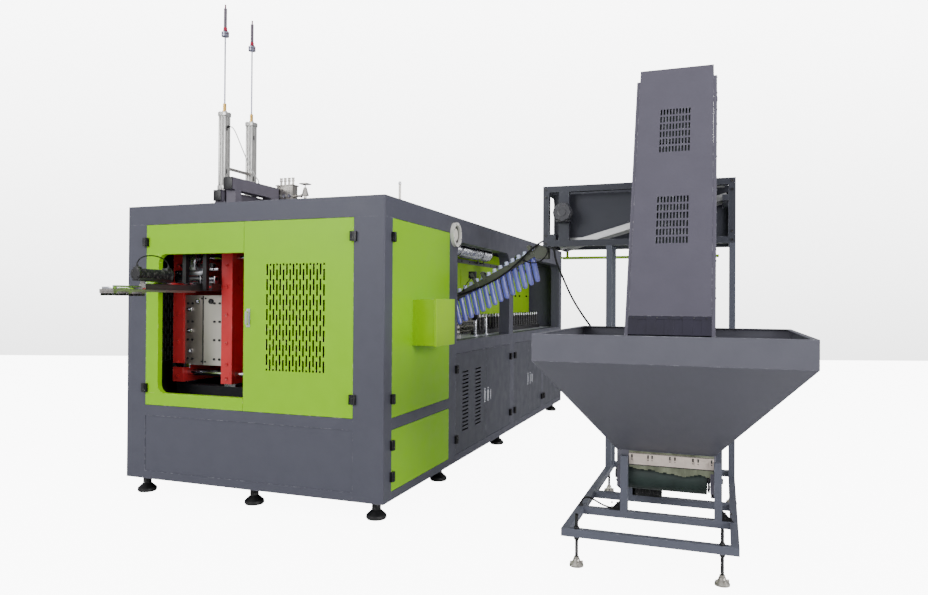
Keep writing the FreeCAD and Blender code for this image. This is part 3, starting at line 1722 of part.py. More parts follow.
def trough():
    """Sloping trough: side walls, bored end plates and the two cross bars that carry it."""
    wall, reach, plate = s.trough_wall, s.trough_half_width, s.end_plate
    outer = reach + wall
    low, high = -s.trough_depth, s.trough_rise
    length = s.roller_length
    sides = group(
        "trough_sides",
        [
            box("trough_front", (plate, -outer, low), (length - plate, -reach, high)),
            box("trough_back", (plate, reach, low), (length - plate, outer, high)),
        ],
    )
    low_end = box("trough_low_end", (0, -outer, low), (plate, outer, high))
    high_end = box("trough_high_end", (length - plate, -outer, low), (length, outer, high))
    low_plate = group("trough_low_plate", [low_end])
    high_plate = group("trough_high_plate", [high_end])
    for item in (sides, low_plate, high_plate):
        place(item, roller_origin, roller_turn)
    angle = math.radians(float(s.roller_slope))
    rise = length * math.sin(angle)
    left = s.sorter_left + tube
    left_bar = box(
        "left_cross_bar",
        (left, sorter_y, s.sorter_low + tube),
        (roller_origin[0] + s.seam, sorter_back, s.sorter_low + tube * 2),
    )
    right_end = s.sorter_right - tube
    right_high = s.roller_height + rise - s.cross_bar_drop
    right_bar = box(
        "right_cross_bar",
        (right_end - s.base_tube, sorter_y, right_high - s.base_tube),
        (right_end, sorter_back, right_high),
    )
    low_blank = fuse("trough_low_blank", low_plate, left_bar)
    high_blank = fuse("trough_high_blank", high_plate, right_bar)
    radius = s.roller_axle + s.running_gap
    inset = plate - s.bearing_depth
    bores = [
        cylinder("axle_bore", radius, (inset, s.roller_spread * sign, 0), length - inset * 2, "X")
        for sign in (-1, 1)
    ]
    bore_pair = group("axle_bores", bores)
    place(bore_pair, roller_origin, roller_turn)
    low_bored = cut("trough_low_bored", low_blank, bore_pair)
    high_bored = cut("trough_high_bored", high_blank, bore_pair)
    return [sides, low_bored, high_bored]


def sorter_frame():
    """Welded tube frame with its rear sheet, the motor post and the trough."""
    left, right = s.sorter_left, s.sorter_right
    low, high = s.sorter_low, sorter_top
    pieces = []
    for y in (sorter_y, sorter_back - tube):
        for z in (low, high - tube):
            pieces.append(box("long_rail", (left, y, z), (right, y + tube, z + tube)))
        for x in (left, right - tube):
            pieces.append(box("end_post", (x, y, low + tube), (x + tube, y + tube, high - tube)))
    for x in (left, right - tube):
        for z in (low, high - tube):
            pieces.append(
                box("end_rail", (x, sorter_y + tube, z), (x + tube, sorter_back - tube, z + tube))
            )
    post_x = left + s.motor_post_offset
    pieces.append(
        box(
            "motor_post",
            (post_x, sorter_y, low + tube),
            (post_x + s.motor_post_width, sorter_y + tube, high - tube),
        )
    )
    sheet_low = (left + tube, sorter_back - s.trough_wall, low + tube)
    pieces.append(box("rear_sheet", sheet_low, (right - tube, sorter_back, high - tube)))
    pieces += trough()
    return node("sorter_frame", group("sorter_frame_pieces", pieces))


def sorter_rollers():
    """Two rollers with stub axles, in the trough's own sloping frame."""
    inset = s.end_plate - s.bearing_depth + s.running_gap * 10
    face = s.end_plate + s.running_gap * 10
    for number, sign in ((1, -1), (2, 1)):
        y = s.roller_spread * sign
        barrel = cylinder(
            f"barrel_{number}",
            s.roller_radius,
            (face, y, 0),
            s.roller_length - face * 2,
            "X",
        )
        axle = cylinder(f"axle_{number}", s.roller_axle, (inset, y, 0), s.roller_length - inset * 2, "X")
        roller = fuse(f"roller_{number}", barrel, axle)
        place(roller, roller_origin, roller_turn)
        node(f"sorter_roller_{number}", roller)


def sorter_motor():
    """Round gear motor on the motor post, with its fixing flange."""
    x = s.sorter_left + s.motor_post_offset + s.motor_post_width / 2
    flange = s.panel_recess * 2
    length = s.gear_motor_length
    start = sorter_y - length
    case = cylinder("motor_case", s.gear_motor_radius, (x, start, s.motor_height), length - flange, "Y")
    plate = cylinder(
        "motor_flange",
        s.gear_motor_radius + flange,
        (x, sorter_y - flange, s.motor_height),
        flange,
        "Y",
    )
    hub = cylinder("motor_hub", s.gear_motor_radius / 2, (x, start - flange, s.motor_height), length, "Y")
    return node("sorter_motor", fuse("sorter_motor_shape", case, plate, hub))


def gusset(name, x, y, z, reach):
    """A flat triangular gusset in the corner of a leg and a beam."""
    owner = body(name)
    pad(owner, "XZ_Plane", [(x, z), (x + reach, z), (x, z + abs_size(reach))], y, y + s.trough_wall)
    return owner


def abs_size(value):
    """The length of a signed size."""
    return value if float(value) > 0 else -value


def base_frame():
    """Welded base of the feeder: beams, cross beams, sorter legs, hopper legs and gussets."""
    width = s.base_tube
    left, right = s.base_left, s.base_right
    low, high = s.base_low, beam_top_level
    start, end = front + s.base_start, front + s.base_end
    pieces = [
        box("left_beam", (left, start, low), (left + width, end, high)),
        box("right_beam", (right - width, start, low), (right, end, high)),
    ]
    stations = (start, front + s.base_beam_two, front + s.base_beam_three, end - width)
    for number, y in enumerate(stations, start=1):
        pieces.append(box(f"cross_beam_{number}", (left + width, y, low), (right - width, y + width, high)))
    for x in (left, right - width):
        for y in (sorter_y, end - width):
            pieces.append(box("sorter_leg", (x, y, high), (x + width, y + width, s.sorter_low)))
    leg_top = s.hopper_mouth_low - s.skirt_height / 3
    for y in stations[1:3]:
        for x, sign in ((s.hopper_leg_left, 1), (s.hopper_leg_right, -1)):
            pieces.append(box("hopper_leg", (x, y, high), (x + width, y + width, leg_top)))
            if y is stations[1]:
                edge = x if sign > 0 else x + width
                pieces.append(gusset("leg_gusset", edge, y, high, s.gusset * -sign))
    box_low = (s.switch_box_left, stations[2], high)
    box_high = (
        s.switch_box_left + s.switch_box_length,
        stations[2] + width * 1.5,
        high + s.switch_box_height,
    )
    pieces.append(box("switch_box", box_low, box_high))
    return node("base_frame", group("base_frame_pieces", pieces))


def base_feet():
    """Adjustable feet of the feeder: threaded stud with nut, and a cast shoe."""
    foot = body("feeder_foot")
    stud, radius = s.base_stud_radius, s.base_foot_radius
    profile = [
        (0, 0),
        (radius, 0),
        (radius, s.shoe_rim),
        (radius * 0.62, s.shoe_shoulder),
        (stud * 1.7, s.shoe_neck),
        (stud * 1.7, s.shoe_nut_top),
        (stud, s.shoe_nut_top),
        (stud, s.base_low - s.lock_nut),
        (stud * 1.6, s.base_low - s.lock_nut),
        (stud * 1.6, s.base_low),
        (0, s.base_low),
    ]
    turned(foot, profile, (0, 0, 0))
    tip = cylinder("stud_tip", stud, (0, 0, beam_top_level), s.base_stud_top - beam_top_level)
    half_tube = s.base_tube / 2
    front_y, back_y = front + s.base_start + half_tube, front + s.base_foot_back
    solids = [
        (s.base_left + s.base_foot_offset, front_y, 0),
        (s.base_right - s.base_foot_offset, front_y, 0),
        (s.base_left + half_tube, back_y, 0),
        (s.base_right - half_tube, back_y, 0),
    ]
    pieces = [copies("feet_low", foot, solids), copies("feet_high", tip, solids)]
    return node("base_feet", group("base_feet_pieces", pieces))


# Hopper: a square funnel with a folded band, and the belt elevator that stands in it.
mouth_left = s.tower_centre - s.tower_width / 2 - s.fit_gap
mouth_right = s.tower_centre + s.tower_width / 2 + s.fit_gap
mouth_start = front + s.base_beam_two + s.base_tube
mouth_end = front + s.base_beam_three


def inset(low, high, distance):
    """A rectangle drawn in on all sides."""
    return rectangle((low[0] + distance, low[1] + distance), (high[0] - distance, high[1] - distance))


def loft(owner, kind, sections):
    """Lofts between outlines on levels, as an added or a subtracted form."""
    feature = owner.newObject(f"PartDesign::{kind}", owner.Name + "_loft")
    sketches = [outline(owner, "XY_Plane", level, points) for level, points in sections]
    feature.Profile = sketches[0]
    feature.Sections = [(sketch, [""]) for sketch in sketches[1:]]
    feature.Ruled = True
    owner.Tip = feature
    return feature


def hopper_bin():
    """Open sheet hopper: lipped band, four-sided funnel and a short skirt at the mouth."""
    wall = s.hopper_sheet
    low = (s.hopper_left, front + s.hopper_start)
    high = (s.hopper_right, front + s.hopper_end)
    mouth_low = (mouth_left - wall, mouth_start)
    mouth_high = (mouth_right + wall, mouth_end)
    band, rim, mouth = s.hopper_band_low, s.hopper_top, s.hopper_mouth_low
    foot = mouth - s.skirt_height
    owner = body("hopper")
    pad(owner, "XY_Plane", rectangle(low, high), band, rim)
    loft(owner, "AdditiveLoft", [(band, rectangle(low, high)), (mouth, rectangle(mouth_low, mouth_high))])
    pad(owner, "XY_Plane", rectangle(mouth_low, mouth_high), foot, mouth)
    pocket(owner, "XY_Plane", inset(low, high, s.hopper_lip), rim - wall, rim)
    pocket(owner, "XY_Plane", inset(low, high, wall), band, rim - wall)
    inner_mouth = inset(mouth_low, mouth_high, wall)
    loft(owner, "SubtractiveLoft", [(band, inset(low, high, wall)), (mouth, inner_mouth)])
    pocket(owner, "XY_Plane", inner_mouth, foot, mouth)
    return node("hopper_bin", owner)


# Belt elevator: its own frame starts at the tail drum's axis and leans back with the tower.
tower_turn = FreeCAD.Rotation(X_AXIS, -float(s.tower_lean))
tower_origin = (s.tower_centre, front + s.tower_foot, s.tower_height)
tower_half = s.tower_width / 2
tower_face = -s.tower_depth / 2


def tower_plates():
    """Two folded side plates of C section, and the plain back sheet between them."""
    wall, flange = s.tower_sheet, s.tower_flange
    pieces = []
    for sign in (-1, 1):
        outer = tower_half * sign
        web = (tower_half - wall) * sign
        lip = (tower_half - flange) * sign
        section = [
            (outer, tower_face),
            (outer, -tower_face),
            (lip, -tower_face),
            (lip, -tower_face - wall),
            (web, -tower_face - wall),
            (web, tower_face + wall),
            (lip, tower_face + wall),
            (lip, tower_face),
        ]
        plate = body("side_plate")
        pad(plate, "XY_Plane", section, s.tower_low, s.tower_plate_top)
        bores = [
            cylinder("shaft_bore", s.drum_shaft + s.running_gap, (-tower_half, 0, z), s.tower_width, "X")
            for z in (size(0), s.head_drum)
        ]
        pieces.append(cut("side_plate_bored", plate, *bores))
    pieces.append(
        box(
            "back_sheet",
            (-tower_half, -tower_face, s.drum_radius),
            (tower_half, -tower_face + wall, s.discharge_low),
        )
    )
    plates = group("tower_plate_pieces", pieces)
    place(plates, tower_origin, tower_turn)
    return node("tower_plates", plates)


def tower_cover():
    """Folded front cover with its cap and cheeks, and two blocks of vent slots."""
    wall = s.tower_sheet
    reach = tower_half - s.tower_flange - s.fit_gap
    front_face = box(
        "cover_face",
        (-reach, tower_face - wall, s.cover_low),
        (reach, tower_face, s.cover_top),
    )
    cap = box("cover_cap", (-reach, tower_face, s.cover_top - wall), (reach, -tower_face, s.cover_top))
    cheeks = []
    for low, high in ((-reach, -reach + wall), (reach - wall, reach)):
        cheeks.append(
            box("cover_cheek", (low, tower_face, s.tower_plate_top), (high, -tower_face, s.cover_top))
        )
    shell = fuse("cover_shell", front_face, cap, *cheeks)
    across = s.tower_vent_pitch
    first = -across * (s.tower_vent_columns - 1) / 2 - s.tower_slot_width / 2
    for level in (s.tower_vent_low, s.tower_vent_high):
        slots = slot_cutters(
            "tower_vents",
            (first, tower_face - wall * 2, level),
            across,
            s.tower_row_pitch,
            (s.tower_vent_columns, s.tower_vent_rows),
            (s.tower_slot_width, s.tower_slot_length),
            (0.0, float(wall) * 3),
            stagger=False,
        )
        shell = cut("cover_vented", shell, slots)
    place(shell, tower_origin, tower_turn)
    return node("tower_cover", shell)


def tower_curtain():
    """Rubber curtain that closes the gap between the cover and the preforms in the bin."""
    reach = tower_half - s.tower_flange - s.fit_gap
    thick = s.curtain_thickness
    curtain = box("curtain", (-reach, tower_face - thick, s.curtain_low), (reach, tower_face, s.cover_low))
    hanging = group("curtain_pieces", [curtain])
    place(hanging, tower_origin, tower_turn)
    return node("tower_curtain", hanging)


def racetrack(name, radius, width):
    """A solid of two round ends and the straight runs between them."""
    left = -width / 2
    ends = [cylinder(name + "_end", radius, (left, 0, z), width, "X") for z in (size(0), s.head_drum)]
    run = box(name + "_run", (left, -radius, 0), (width / 2, radius, s.head_drum))
    return fuse(name, run, *ends)


def elevator_belt():
    """Endless belt round the two drums, with moulded cleats on both runs."""
    inside = s.drum_radius + s.drum_gap
    outside = inside + s.belt_thickness
    width = s.belt_width
    loop = cut("belt_loop", racetrack("belt_outer", outside, width), racetrack("belt_inner", inside, width))
    cleats = []
    for number in range(int(float(s.head_drum) / float(s.cleat_pitch))):
        z = s.cleat_pitch * (number + 0.5)
        for sign in (-1, 1):
            low, high = sorted((outside * sign, (outside + s.cleat_height) * sign), key=float)
            cleats.append(box("cleat", (-width / 2, low, z), (width / 2, high, z + s.cleat_thickness)))
    belt = fuse("belt", loop, *cleats)
    place(belt, tower_origin, tower_turn)
    return node("elevator_belt", belt)


def drums():
    """Head and tail drums on their shafts; the tail shaft has a stub outside the plate."""
    half_width = s.belt_width / 2
    for name, z, stub in (("head_drum", s.head_drum, s.tower_sheet), ("tail_drum", size(0), s.shaft_stub)):
        barrel = cylinder(name + "_barrel", s.drum_radius, (-half_width, 0, z), s.belt_width, "X")
        length = s.tower_width + s.tower_sheet + stub
        shaft = cylinder(name + "_shaft", s.drum_shaft, (-tower_half - s.tower_sheet, 0, z), length, "X")
        drum = fuse(name + "_shape", barrel, shaft)
        place(drum, tower_origin, tower_turn)
        node(name, drum)


sorter_frame()
sorter_rollers()
sorter_motor()
base_frame()
base_feet()
hopper_bin()
tower_plates()
tower_cover()
tower_curtain()
elevator_belt()
drums()


# Cables and hoses: each route is a list of points, rounded by tangent arcs.
ROUTES = {
    "main_cable": [
        (1735, 1250, 1827), (1676, 1250, 1827), (1610, 1250, 1790), (1532, 1250, 1728),
        (1461, 1250, 1657), (1382, 1250, 1589), (1296, 1250, 1532), (1202, 1250, 1485),
        (1110, 1250, 1450), (1045, 1250, 1425), (995, 1241, 1407), (963, 1217, 1397),
        (950, 1190, 1393), (950, 1165, 1393),
    ],
    "loop_cable": [
        (1500, 1269, 1675), (1500, 1242, 1675), (1518, 1222, 1668), (1556, 1216, 1652),
        (1602, 1216, 1648), (1645, 1219, 1662), (1678, 1221, 1690), (1698, 1222, 1726),
        (1698, 1222, 1760),
    ],
    "sensor_cable": [
        (1092, 1263, 1542), (1092, 1239, 1542), (1080, 1226, 1529), (1058, 1228, 1500),
        (1038, 1229, 1472), (1022, 1234, 1450), (1015, 1248, 1440), (1015, 1269, 1440),
    ],
    "sorter_cable": [
        (1770, 1122, 1760), (1770, 1122, 1727), (1780, 1110, 1680), (1803, 1085, 1622),
        (1835, 1065, 1560), (1868, 1052, 1490), (1905, 1048, 1410), (1950, 1050, 1330),
        (1995, 1062, 1258), (2040, 1082, 1192), (2078, 1106, 1132), (2110, 1120, 1106),
        (2150, 1120, 1106),
    ],
    "base_cable": [
        (2172, 72, 190), (2172, 72, 218), (2190, 71, 240), (2220, 69, 244),
        (2256, 68, 228), (2298, 69, 206), (2345, 70, 196), (2394.3, 70, 196),
    ],
    "air_hose": [
        (-553, 395, 2651), (-528, 395, 2651), (-513, 404, 2642), (-505, 428, 2608),
        (-501, 462, 2552), (-497, 510, 2480), (-495, 560, 2409), (-494, 610, 2354),
        (-492, 653, 2319), (-490, 683, 2296), (-490, 690, 2278), (-490, 690, 2260),
    ],
    "actuator_hose": [
        (-520, -236, 1560), (-520, -236, 1586), (-523, -254, 1610), (-529, -288, 1628),
        (-535, -332, 1637), (-538, -378, 1638), (-536, -424, 1631), (-528, -470, 1616),
        (-520, -504, 1588), (-520, -504, 1560),
    ],
}


def rounded_path(name, points):
    """A wire of straight runs joined by tangent arcs, with the smallest arc's radius."""
    points = [FreeCAD.Vector(*point) for point in points]
    edges, radii = [], []
    start = points[0]
    for before, corner, after in zip(points, points[1:], points[2:]):
        inward = (before - corner).normalize()
        outward = (after - corner).normalize()
        turn = math.pi - inward.getAngle(outward)
        reach = 0.45 * min((before - corner).Length, (after - corner).Length)
        radius = reach / math.tan(turn / 2)
        radii.append(radius)
        first = corner + inward * reach
        last = corner + outward * reach
        bisector = (inward + outward).normalize()
        centre = corner + bisector * (radius / math.cos(turn / 2))
        middle = centre - bisector * radius
        edges.append(Part.LineSegment(start, first).toShape())
        edges.append(Part.Arc(first, middle, last).toShape())
        start = last
    edges.append(Part.LineSegment(start, points[-1]).toShape())
    return Part.Wire(edges), radii


def cord(name, radius):
    """A round tube along one of the routes."""
    path, radii = rounded_path(name, ROUTES[name])
    start = FreeCAD.Vector(*ROUTES[name][0])
    heading = FreeCAD.Vector(*ROUTES[name][1]) - start
    section = Part.Wire([Part.Circle(start, heading, float(radius)).toShape()])
    solid = path.makePipeShell([section], True, True)
    ideal = math.pi * float(radius) ** 2 * path.Length
    report = f"{name}: length {path.Length:.0f}, radii {[round(value) for value in radii]}"
    print(report, f"volume share {solid.Volume / ideal:.4f}")
    return node(name, shape(name + "_tube", solid))


cord("main_cable", s.main_cable_radius)
cord("loop_cable", s.loop_cable_radius)
cord("sensor_cable", s.sensor_cable_radius)
cord("sorter_cable", s.sorter_cable_radius)
cord("base_cable", s.base_cable_radius)
cord("air_hose", s.air_hose_radius)
cord("actuator_hose", s.arm_hose_radius)


def write_parts():
    """Checks every object and sub-part, then writes one STEP file for each node."""
    doc.recompute()
    for item in doc.Objects:
        faults = [word for word in item.State if word in ("Invalid", "Error")]
        if faults:
            raise RuntimeError(f"{item.Label}: {faults}")
    os.makedirs("parts", exist_ok=True)
    for name, item in parts.items():
        solid = item.Shape
        if solid.isNull() or not solid.isValid():
            raise RuntimeError(f"{name}: the shape is null or not valid")
    for name, item in parts.items():
        item.Shape.exportStep(f"parts/{name}.step")
    print(len(parts), "sub-parts written")


write_parts()
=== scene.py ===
import math
from itertools import product

import bmesh
import bpy
from mathutils import Euler, Matrix, Vector


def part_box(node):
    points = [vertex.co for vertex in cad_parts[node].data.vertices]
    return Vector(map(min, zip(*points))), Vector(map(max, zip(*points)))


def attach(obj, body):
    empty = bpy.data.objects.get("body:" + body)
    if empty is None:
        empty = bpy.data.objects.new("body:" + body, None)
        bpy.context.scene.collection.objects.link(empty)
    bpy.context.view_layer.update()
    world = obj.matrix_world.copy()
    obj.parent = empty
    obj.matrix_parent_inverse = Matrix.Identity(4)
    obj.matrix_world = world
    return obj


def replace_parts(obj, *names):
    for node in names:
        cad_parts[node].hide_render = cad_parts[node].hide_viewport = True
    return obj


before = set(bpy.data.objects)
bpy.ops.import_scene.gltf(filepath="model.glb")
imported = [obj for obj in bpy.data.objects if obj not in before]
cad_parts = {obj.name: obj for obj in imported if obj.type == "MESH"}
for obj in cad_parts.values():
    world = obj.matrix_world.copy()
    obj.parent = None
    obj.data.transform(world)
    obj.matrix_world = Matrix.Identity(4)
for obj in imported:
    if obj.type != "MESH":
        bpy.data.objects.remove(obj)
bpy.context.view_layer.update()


# The view: the whole line seen from its front right corner, at eye height.
# The lens, the heading and the slight tilt match the photograph's two vanishing points.
def shown(name, data):
    """A new object in the scene."""
    holder = bpy.data.objects.new(name, data)
    bpy.context.scene.collection.objects.link(holder)
    return holder


SENSOR_WIDTH = 36.0
FOCAL_PIXELS, FRAME_PIXELS = 712.0, 928.0
STAND_X, STAND_Y, EYE_HEIGHT = 2.928, -3.997, 1.348
HEADING = math.radians(19.95)
camera_data = bpy.data.cameras.new("front_right_view")
camera_data.sensor_width = SENSOR_WIDTH
camera_data.lens = SENSOR_WIDTH * FOCAL_PIXELS / FRAME_PIXELS
camera_data.clip_end = 200.0
camera = shown("front_right_view", camera_data)
ahead = Euler((math.radians(90.4), 0.0, HEADING), "XYZ").to_matrix()
roll = Matrix.Rotation(math.radians(0.36), 3, "Z")
camera.matrix_world = Matrix.Translation((STAND_X, STAND_Y, EYE_HEIGHT)) @ (ahead @ roll).to_4x4()
bpy.context.scene.camera = camera

# The studio: a pale smooth floor that ends at a light grey wall, 17 m in front of the camera.
# It isn't part of the machine, and the machine's feet stand on its floor.
WALL_DISTANCE = 17.3
WALL_TOP = 8.5
SHEET_SIZE = 40.0


def feed(tree, socket, value):
    """Gives a socket a colour, a number or a link."""
    if isinstance(value, tuple):
        socket.default_value = (*value, 1.0)
    elif isinstance(value, float):
        socket.default_value = value
    else:
        tree.links.new(value, socket)


def combine(tree, operation, first, second):
    maths = tree.nodes.new("ShaderNodeMath")
    maths.operation = operation
    feed(tree, maths.inputs[0], first)
    feed(tree, maths.inputs[1], second)
    return maths.outputs[0]


def ramp(tree, source, *limits):
    """Maps the source from its own range, low and high, onto another one."""
    change = tree.nodes.new("ShaderNodeMapRange")
    for socket, value in zip(("From Min", "From Max", "To Min", "To Max"), limits):
        change.inputs[socket].default_value = value
    tree.links.new(source, change.inputs["Value"])
    return change.outputs["Result"]


def own_axes(tree):
    """The object's own X, Y and Z at the point that is shaded."""
    place = tree.nodes.new("ShaderNodeTexCoord")
    parts = tree.nodes.new("ShaderNodeSeparateXYZ")
    tree.links.new(place.outputs["Object"], parts.inputs["Vector"])
    return parts.outputs


def new_finish(name):
    material = bpy.data.materials.new(name)
    material.use_nodes = True
    return material, material.node_tree, material.node_tree.nodes["Principled BSDF"].inputs


def pale_paint(name, grey, low_glow, high_glow):
    """White paint that the camera sees overexposed, while it lights the machine only softly."""
    paint, tree, sockets = new_finish(name)
    seen = tree.nodes.new("ShaderNodeLightPath").outputs["Is Camera Ray"]
    rise = ramp(tree, own_axes(tree)["Z"], 0.0, WALL_TOP, low_glow, high_glow)
    for socket, value in (
            ("Base Color", (grey, grey, grey)), ("Roughness", 0.7), ("Specular IOR Level", 0.1),
            ("Emission Color", (1.0, 1.0, 1.0)),
            ("Emission Strength", combine(tree, "MULTIPLY", seen, rise))):
        feed(tree, sockets[socket], value)
    return paint


def studio_sheet(name, turn, paint):
    mesh = bpy.data.meshes.new(name)
    sheet = bmesh.new()
    bmesh.ops.create_grid(sheet, x_segments=1, y_segments=1, size=SHEET_SIZE)
    sheet.to_mesh(mesh)
    sheet.free()
    mesh.transform(turn)
    mesh.materials.append(paint)
    shown(name, mesh)


wall_seat = (
    Matrix.Translation((STAND_X, STAND_Y, 0.0)) @ Matrix.Rotation(HEADING, 4, "Z")
    @ Matrix.Translation((0.0, WALL_DISTANCE, 0.0)) @ Matrix.Rotation(math.radians(90.0), 4, "X"))
studio_sheet("studio_floor", Matrix.Identity(4), pale_paint("pale_floor", 0.6, 9.0, 9.0))
studio_sheet("studio_wall", wall_seat, pale_paint("pale_wall", 0.5, 3.2, 7.5))

# The light: a bright even sky, a large soft panel above, one at the front and one at the right.
# The machine's front and right side are lit almost evenly, with soft shade under the casing.
world = bpy.data.worlds.new("studio_sky")
bpy.context.scene.world = world
world.use_nodes = True
sky = world.node_tree.nodes["Background"]
sky.inputs["Color"].default_value = (0.95, 0.96, 1.0, 1.0)
sky.inputs["Strength"].default_value = 0.9
for name, place, target, size, power in (
        ("overhead_panel", (1.0, 1.0, 7.0), (0.8, 1.8, 0.0), (7.0, 9.0), 230.0),
        ("front_panel", (-2.5, -7.0, 4.2), (0.4, 0.2, 1.0), (5.0, 4.0), 520.0),
        ("right_panel", (8.0, -2.0, 2.4), (1.0, 1.6, 0.9), (5.0, 3.0), 500.0)):
    lamp = bpy.data.lights.new(name, "AREA")
    lamp.shape = "RECTANGLE"
    lamp.size, lamp.size_y = size
    lamp.energy = power
    toward = (Vector(target) - Vector(place)).to_track_quat("-Z", "Y").to_matrix().to_4x4()
    shown(name, lamp).matrix_world = Matrix.Translation(place) @ toward


# The casing's frame, roof, lower panels and base doors: folded and welded steel, coated in
# dark grey powder paint. The coat has a fine orange peel, and it is rubbed light along edges.
WORN_EDGE = 0.004
GRAIN_HEIGHT = 0.0006


def speckle(tree, scale, detail, stretch=(1.0, 1.0, 1.0)):
    """Noise on the object's own coordinates."""
    place = tree.nodes.new("ShaderNodeTexCoord")
    mapping = tree.nodes.new("ShaderNodeMapping")
    mapping.inputs["Scale"].default_value = stretch
    grain = tree.nodes.new("ShaderNodeTexNoise")
    grain.inputs["Scale"].default_value = scale
    grain.inputs["Detail"].default_value = detail
    tree.links.new(place.outputs["Object"], mapping.inputs["Vector"])
    tree.links.new(mapping.outputs["Vector"], grain.inputs["Vector"])
    return grain.outputs["Fac"]


def within(tree, low, high):
    """One inside the box from low to high, and nought outside it."""
    axes = own_axes(tree)
    inside = 1.0
    for axis, limits in zip(axes, zip(low, high)):
        for limit, test in zip(limits, ("GREATER_THAN", "LESS_THAN")):
            if limit is not None:
                inside = combine(tree, "MULTIPLY", inside, combine(tree, test, axis, limit))
    return inside


def blend(tree, factor, first, second, kind="RGBA"):
    mix = tree.nodes.new("ShaderNodeMix")
    mix.data_type = kind
    for socket, value in (("Factor", factor), ("A", first), ("B", second)):
        feed(tree, mix.inputs[socket], value)
    return mix.outputs["Result"]


def linear(red, green, blue):
    """A screen colour, 0 to 255, as the light that it stands for."""
    return tuple(round((c / 255 / 12.92) if c <= 10 else ((c / 255 + 0.055) / 1.055) ** 2.4, 5)
                 for c in (red, green, blue))


def finish_material(name, colour, roughness, metallic=0.0, variation=0.12, grain=9.0, peel=900.0,
                    bump=0.04, coat=0.0, shine=0.15, stretch=(1.0, 1.0, 1.0), wear=None, spots=()):
    """A surface with mottled colour and gloss and a fine bump.

    Each spot is a box with its own finish: (low, high, colour, roughness, metallic).
    """
    material, tree, sockets = new_finish(name)
    mottle = speckle(tree, grain, 4.0, stretch)
    patchy = ramp(tree, mottle, 0.3, 0.7, 0.0, 1.0)

    def two_tone(tint):
        dark = tuple(c * (1.0 - variation) for c in tint)
        light = tuple(min(1.0, c * (1.0 + variation)) for c in tint)
        return blend(tree, patchy, dark, light)

    shade = two_tone(colour)
    gloss = ramp(tree, mottle, 0.3, 0.7, max(0.03, roughness - 0.06), min(1.0, roughness + 0.07))
    metal = metallic
    if wear is not None:
        edge = tree.nodes.new("ShaderNodeBevel")
        edge.samples = 4
        edge.inputs["Radius"].default_value = WORN_EDGE
        face = tree.nodes.new("ShaderNodeNewGeometry")
        turn = tree.nodes.new("ShaderNodeVectorMath")
        turn.operation = "DOT_PRODUCT"
        tree.links.new(edge.outputs["Normal"], turn.inputs[0])
        tree.links.new(face.outputs["Normal"], turn.inputs[1])
        rim = ramp(tree, turn.outputs["Value"], 0.995, 0.86, 0.0, 1.0)
        patch = ramp(tree, speckle(tree, 35.0, 5.0), 0.5, 0.66, 0.0, 1.0)
        shade = blend(tree, combine(tree, "MULTIPLY", rim, patch), shade, wear)
    for low, high, spot, spot_roughness, spot_metal in spots:
        inside = within(tree, low, high)
        shade = blend(tree, inside, shade, two_tone(spot))
        gloss = blend(tree, inside, gloss, spot_roughness, "FLOAT")
        if metal != spot_metal:
            metal = blend(tree, inside, metal, spot_metal, "FLOAT")
    for socket, value in (("Base Color", shade), ("Roughness", gloss), ("Metallic", metal),
                          ("Coat Weight", coat), ("Specular IOR Level", shine)):
        feed(tree, sockets[socket], value)
    relief = tree.nodes.new("ShaderNodeBump")
    relief.inputs["Strength"].default_value = bump
    relief.inputs["Distance"].default_value = GRAIN_HEIGHT
    tree.links.new(speckle(tree, peel, 2.0, stretch), relief.inputs["Height"])
    tree.links.new(relief.outputs["Normal"], sockets["Normal"])
    return material


def dress(material, *nodes):
    for node in nodes:
        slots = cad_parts[node].data.materials
        slots.clear()
        slots.append(material)


GREY = (0.066, 0.067, 0.086)
GREEN = (0.205, 0.465, 0.0)
BLACK = linear(17, 17, 19)
RUBBED = linear(150, 150, 158)


def grey_coat(name, colour, roughness=0.42, spots=()):
    return finish_material(name, colour, roughness, variation=0.03, wear=RUBBED, spots=spots)


dress(grey_coat("frame_grey_powder_coat", GREY), "cabinet_frame", "oven_frame", "roof_panels")
left_sheet_low, left_sheet_high = (-0.2, 0.626), (0.995, 1.88)
# The left sheet is green outside, and its inner face is painted near black: painted shade for the
# inside of the cabinet.
dress(grey_coat("casing_panel_powder_coat", GREY, spots=[
    ((-1.1, *left_sheet_low), (-0.88, *left_sheet_high), GREEN, 0.38, 0.0),
    ((-0.9957, *left_sheet_low), (-0.88, *left_sheet_high), linear(22, 24, 20), 0.5, 0.0),
]), "casing_panels")

# The doors: folded steel trays, green on the cabinet and dark grey below the oven.
# Their hinge leaves are black steel, and their pulls are chromed castings screwed to the face.
OPEN = (None, None, None)
FACE_FRONT, FACE_RIGHT = -0.1002, 1.0002
GREEN_RUBBED = linear(205, 222, 130)
CHROMED = (linear(225, 226, 232), 0.14, 1.0)
front_leaves = (OPEN, (None, FACE_FRONT, None), BLACK, 0.4, 0.0)
side_leaves = ((FACE_RIGHT, None, None), OPEN, BLACK, 0.4, 0.0)
door_green = finish_material("door_green_powder_coat", GREEN, 0.38, variation=0.025,
                             wear=GREEN_RUBBED, spots=[front_leaves, side_leaves])
dress(door_green, "front_left_door", "side_upper_door", "side_lower_door")
# On the vented door everything behind the face over the vent is painted near black: painted shade
# inside the vent's slots.
vented_green = finish_material(
    "vented_door_green_powder_coat", GREEN, 0.38, variation=0.025, wear=GREEN_RUBBED, spots=[
        ((0.06, -0.0985, 0.75), (0.74, -0.0605, 1.83), linear(12, 13, 12), 0.6, 0.0),
        ((0.7, None, None), (None, FACE_FRONT, None), BLACK, 0.4, 0.0),
        ((-0.01, None, 1.17), (0.04, FACE_FRONT, 1.31), *CHROMED)])
dress(vented_green, "front_right_door")
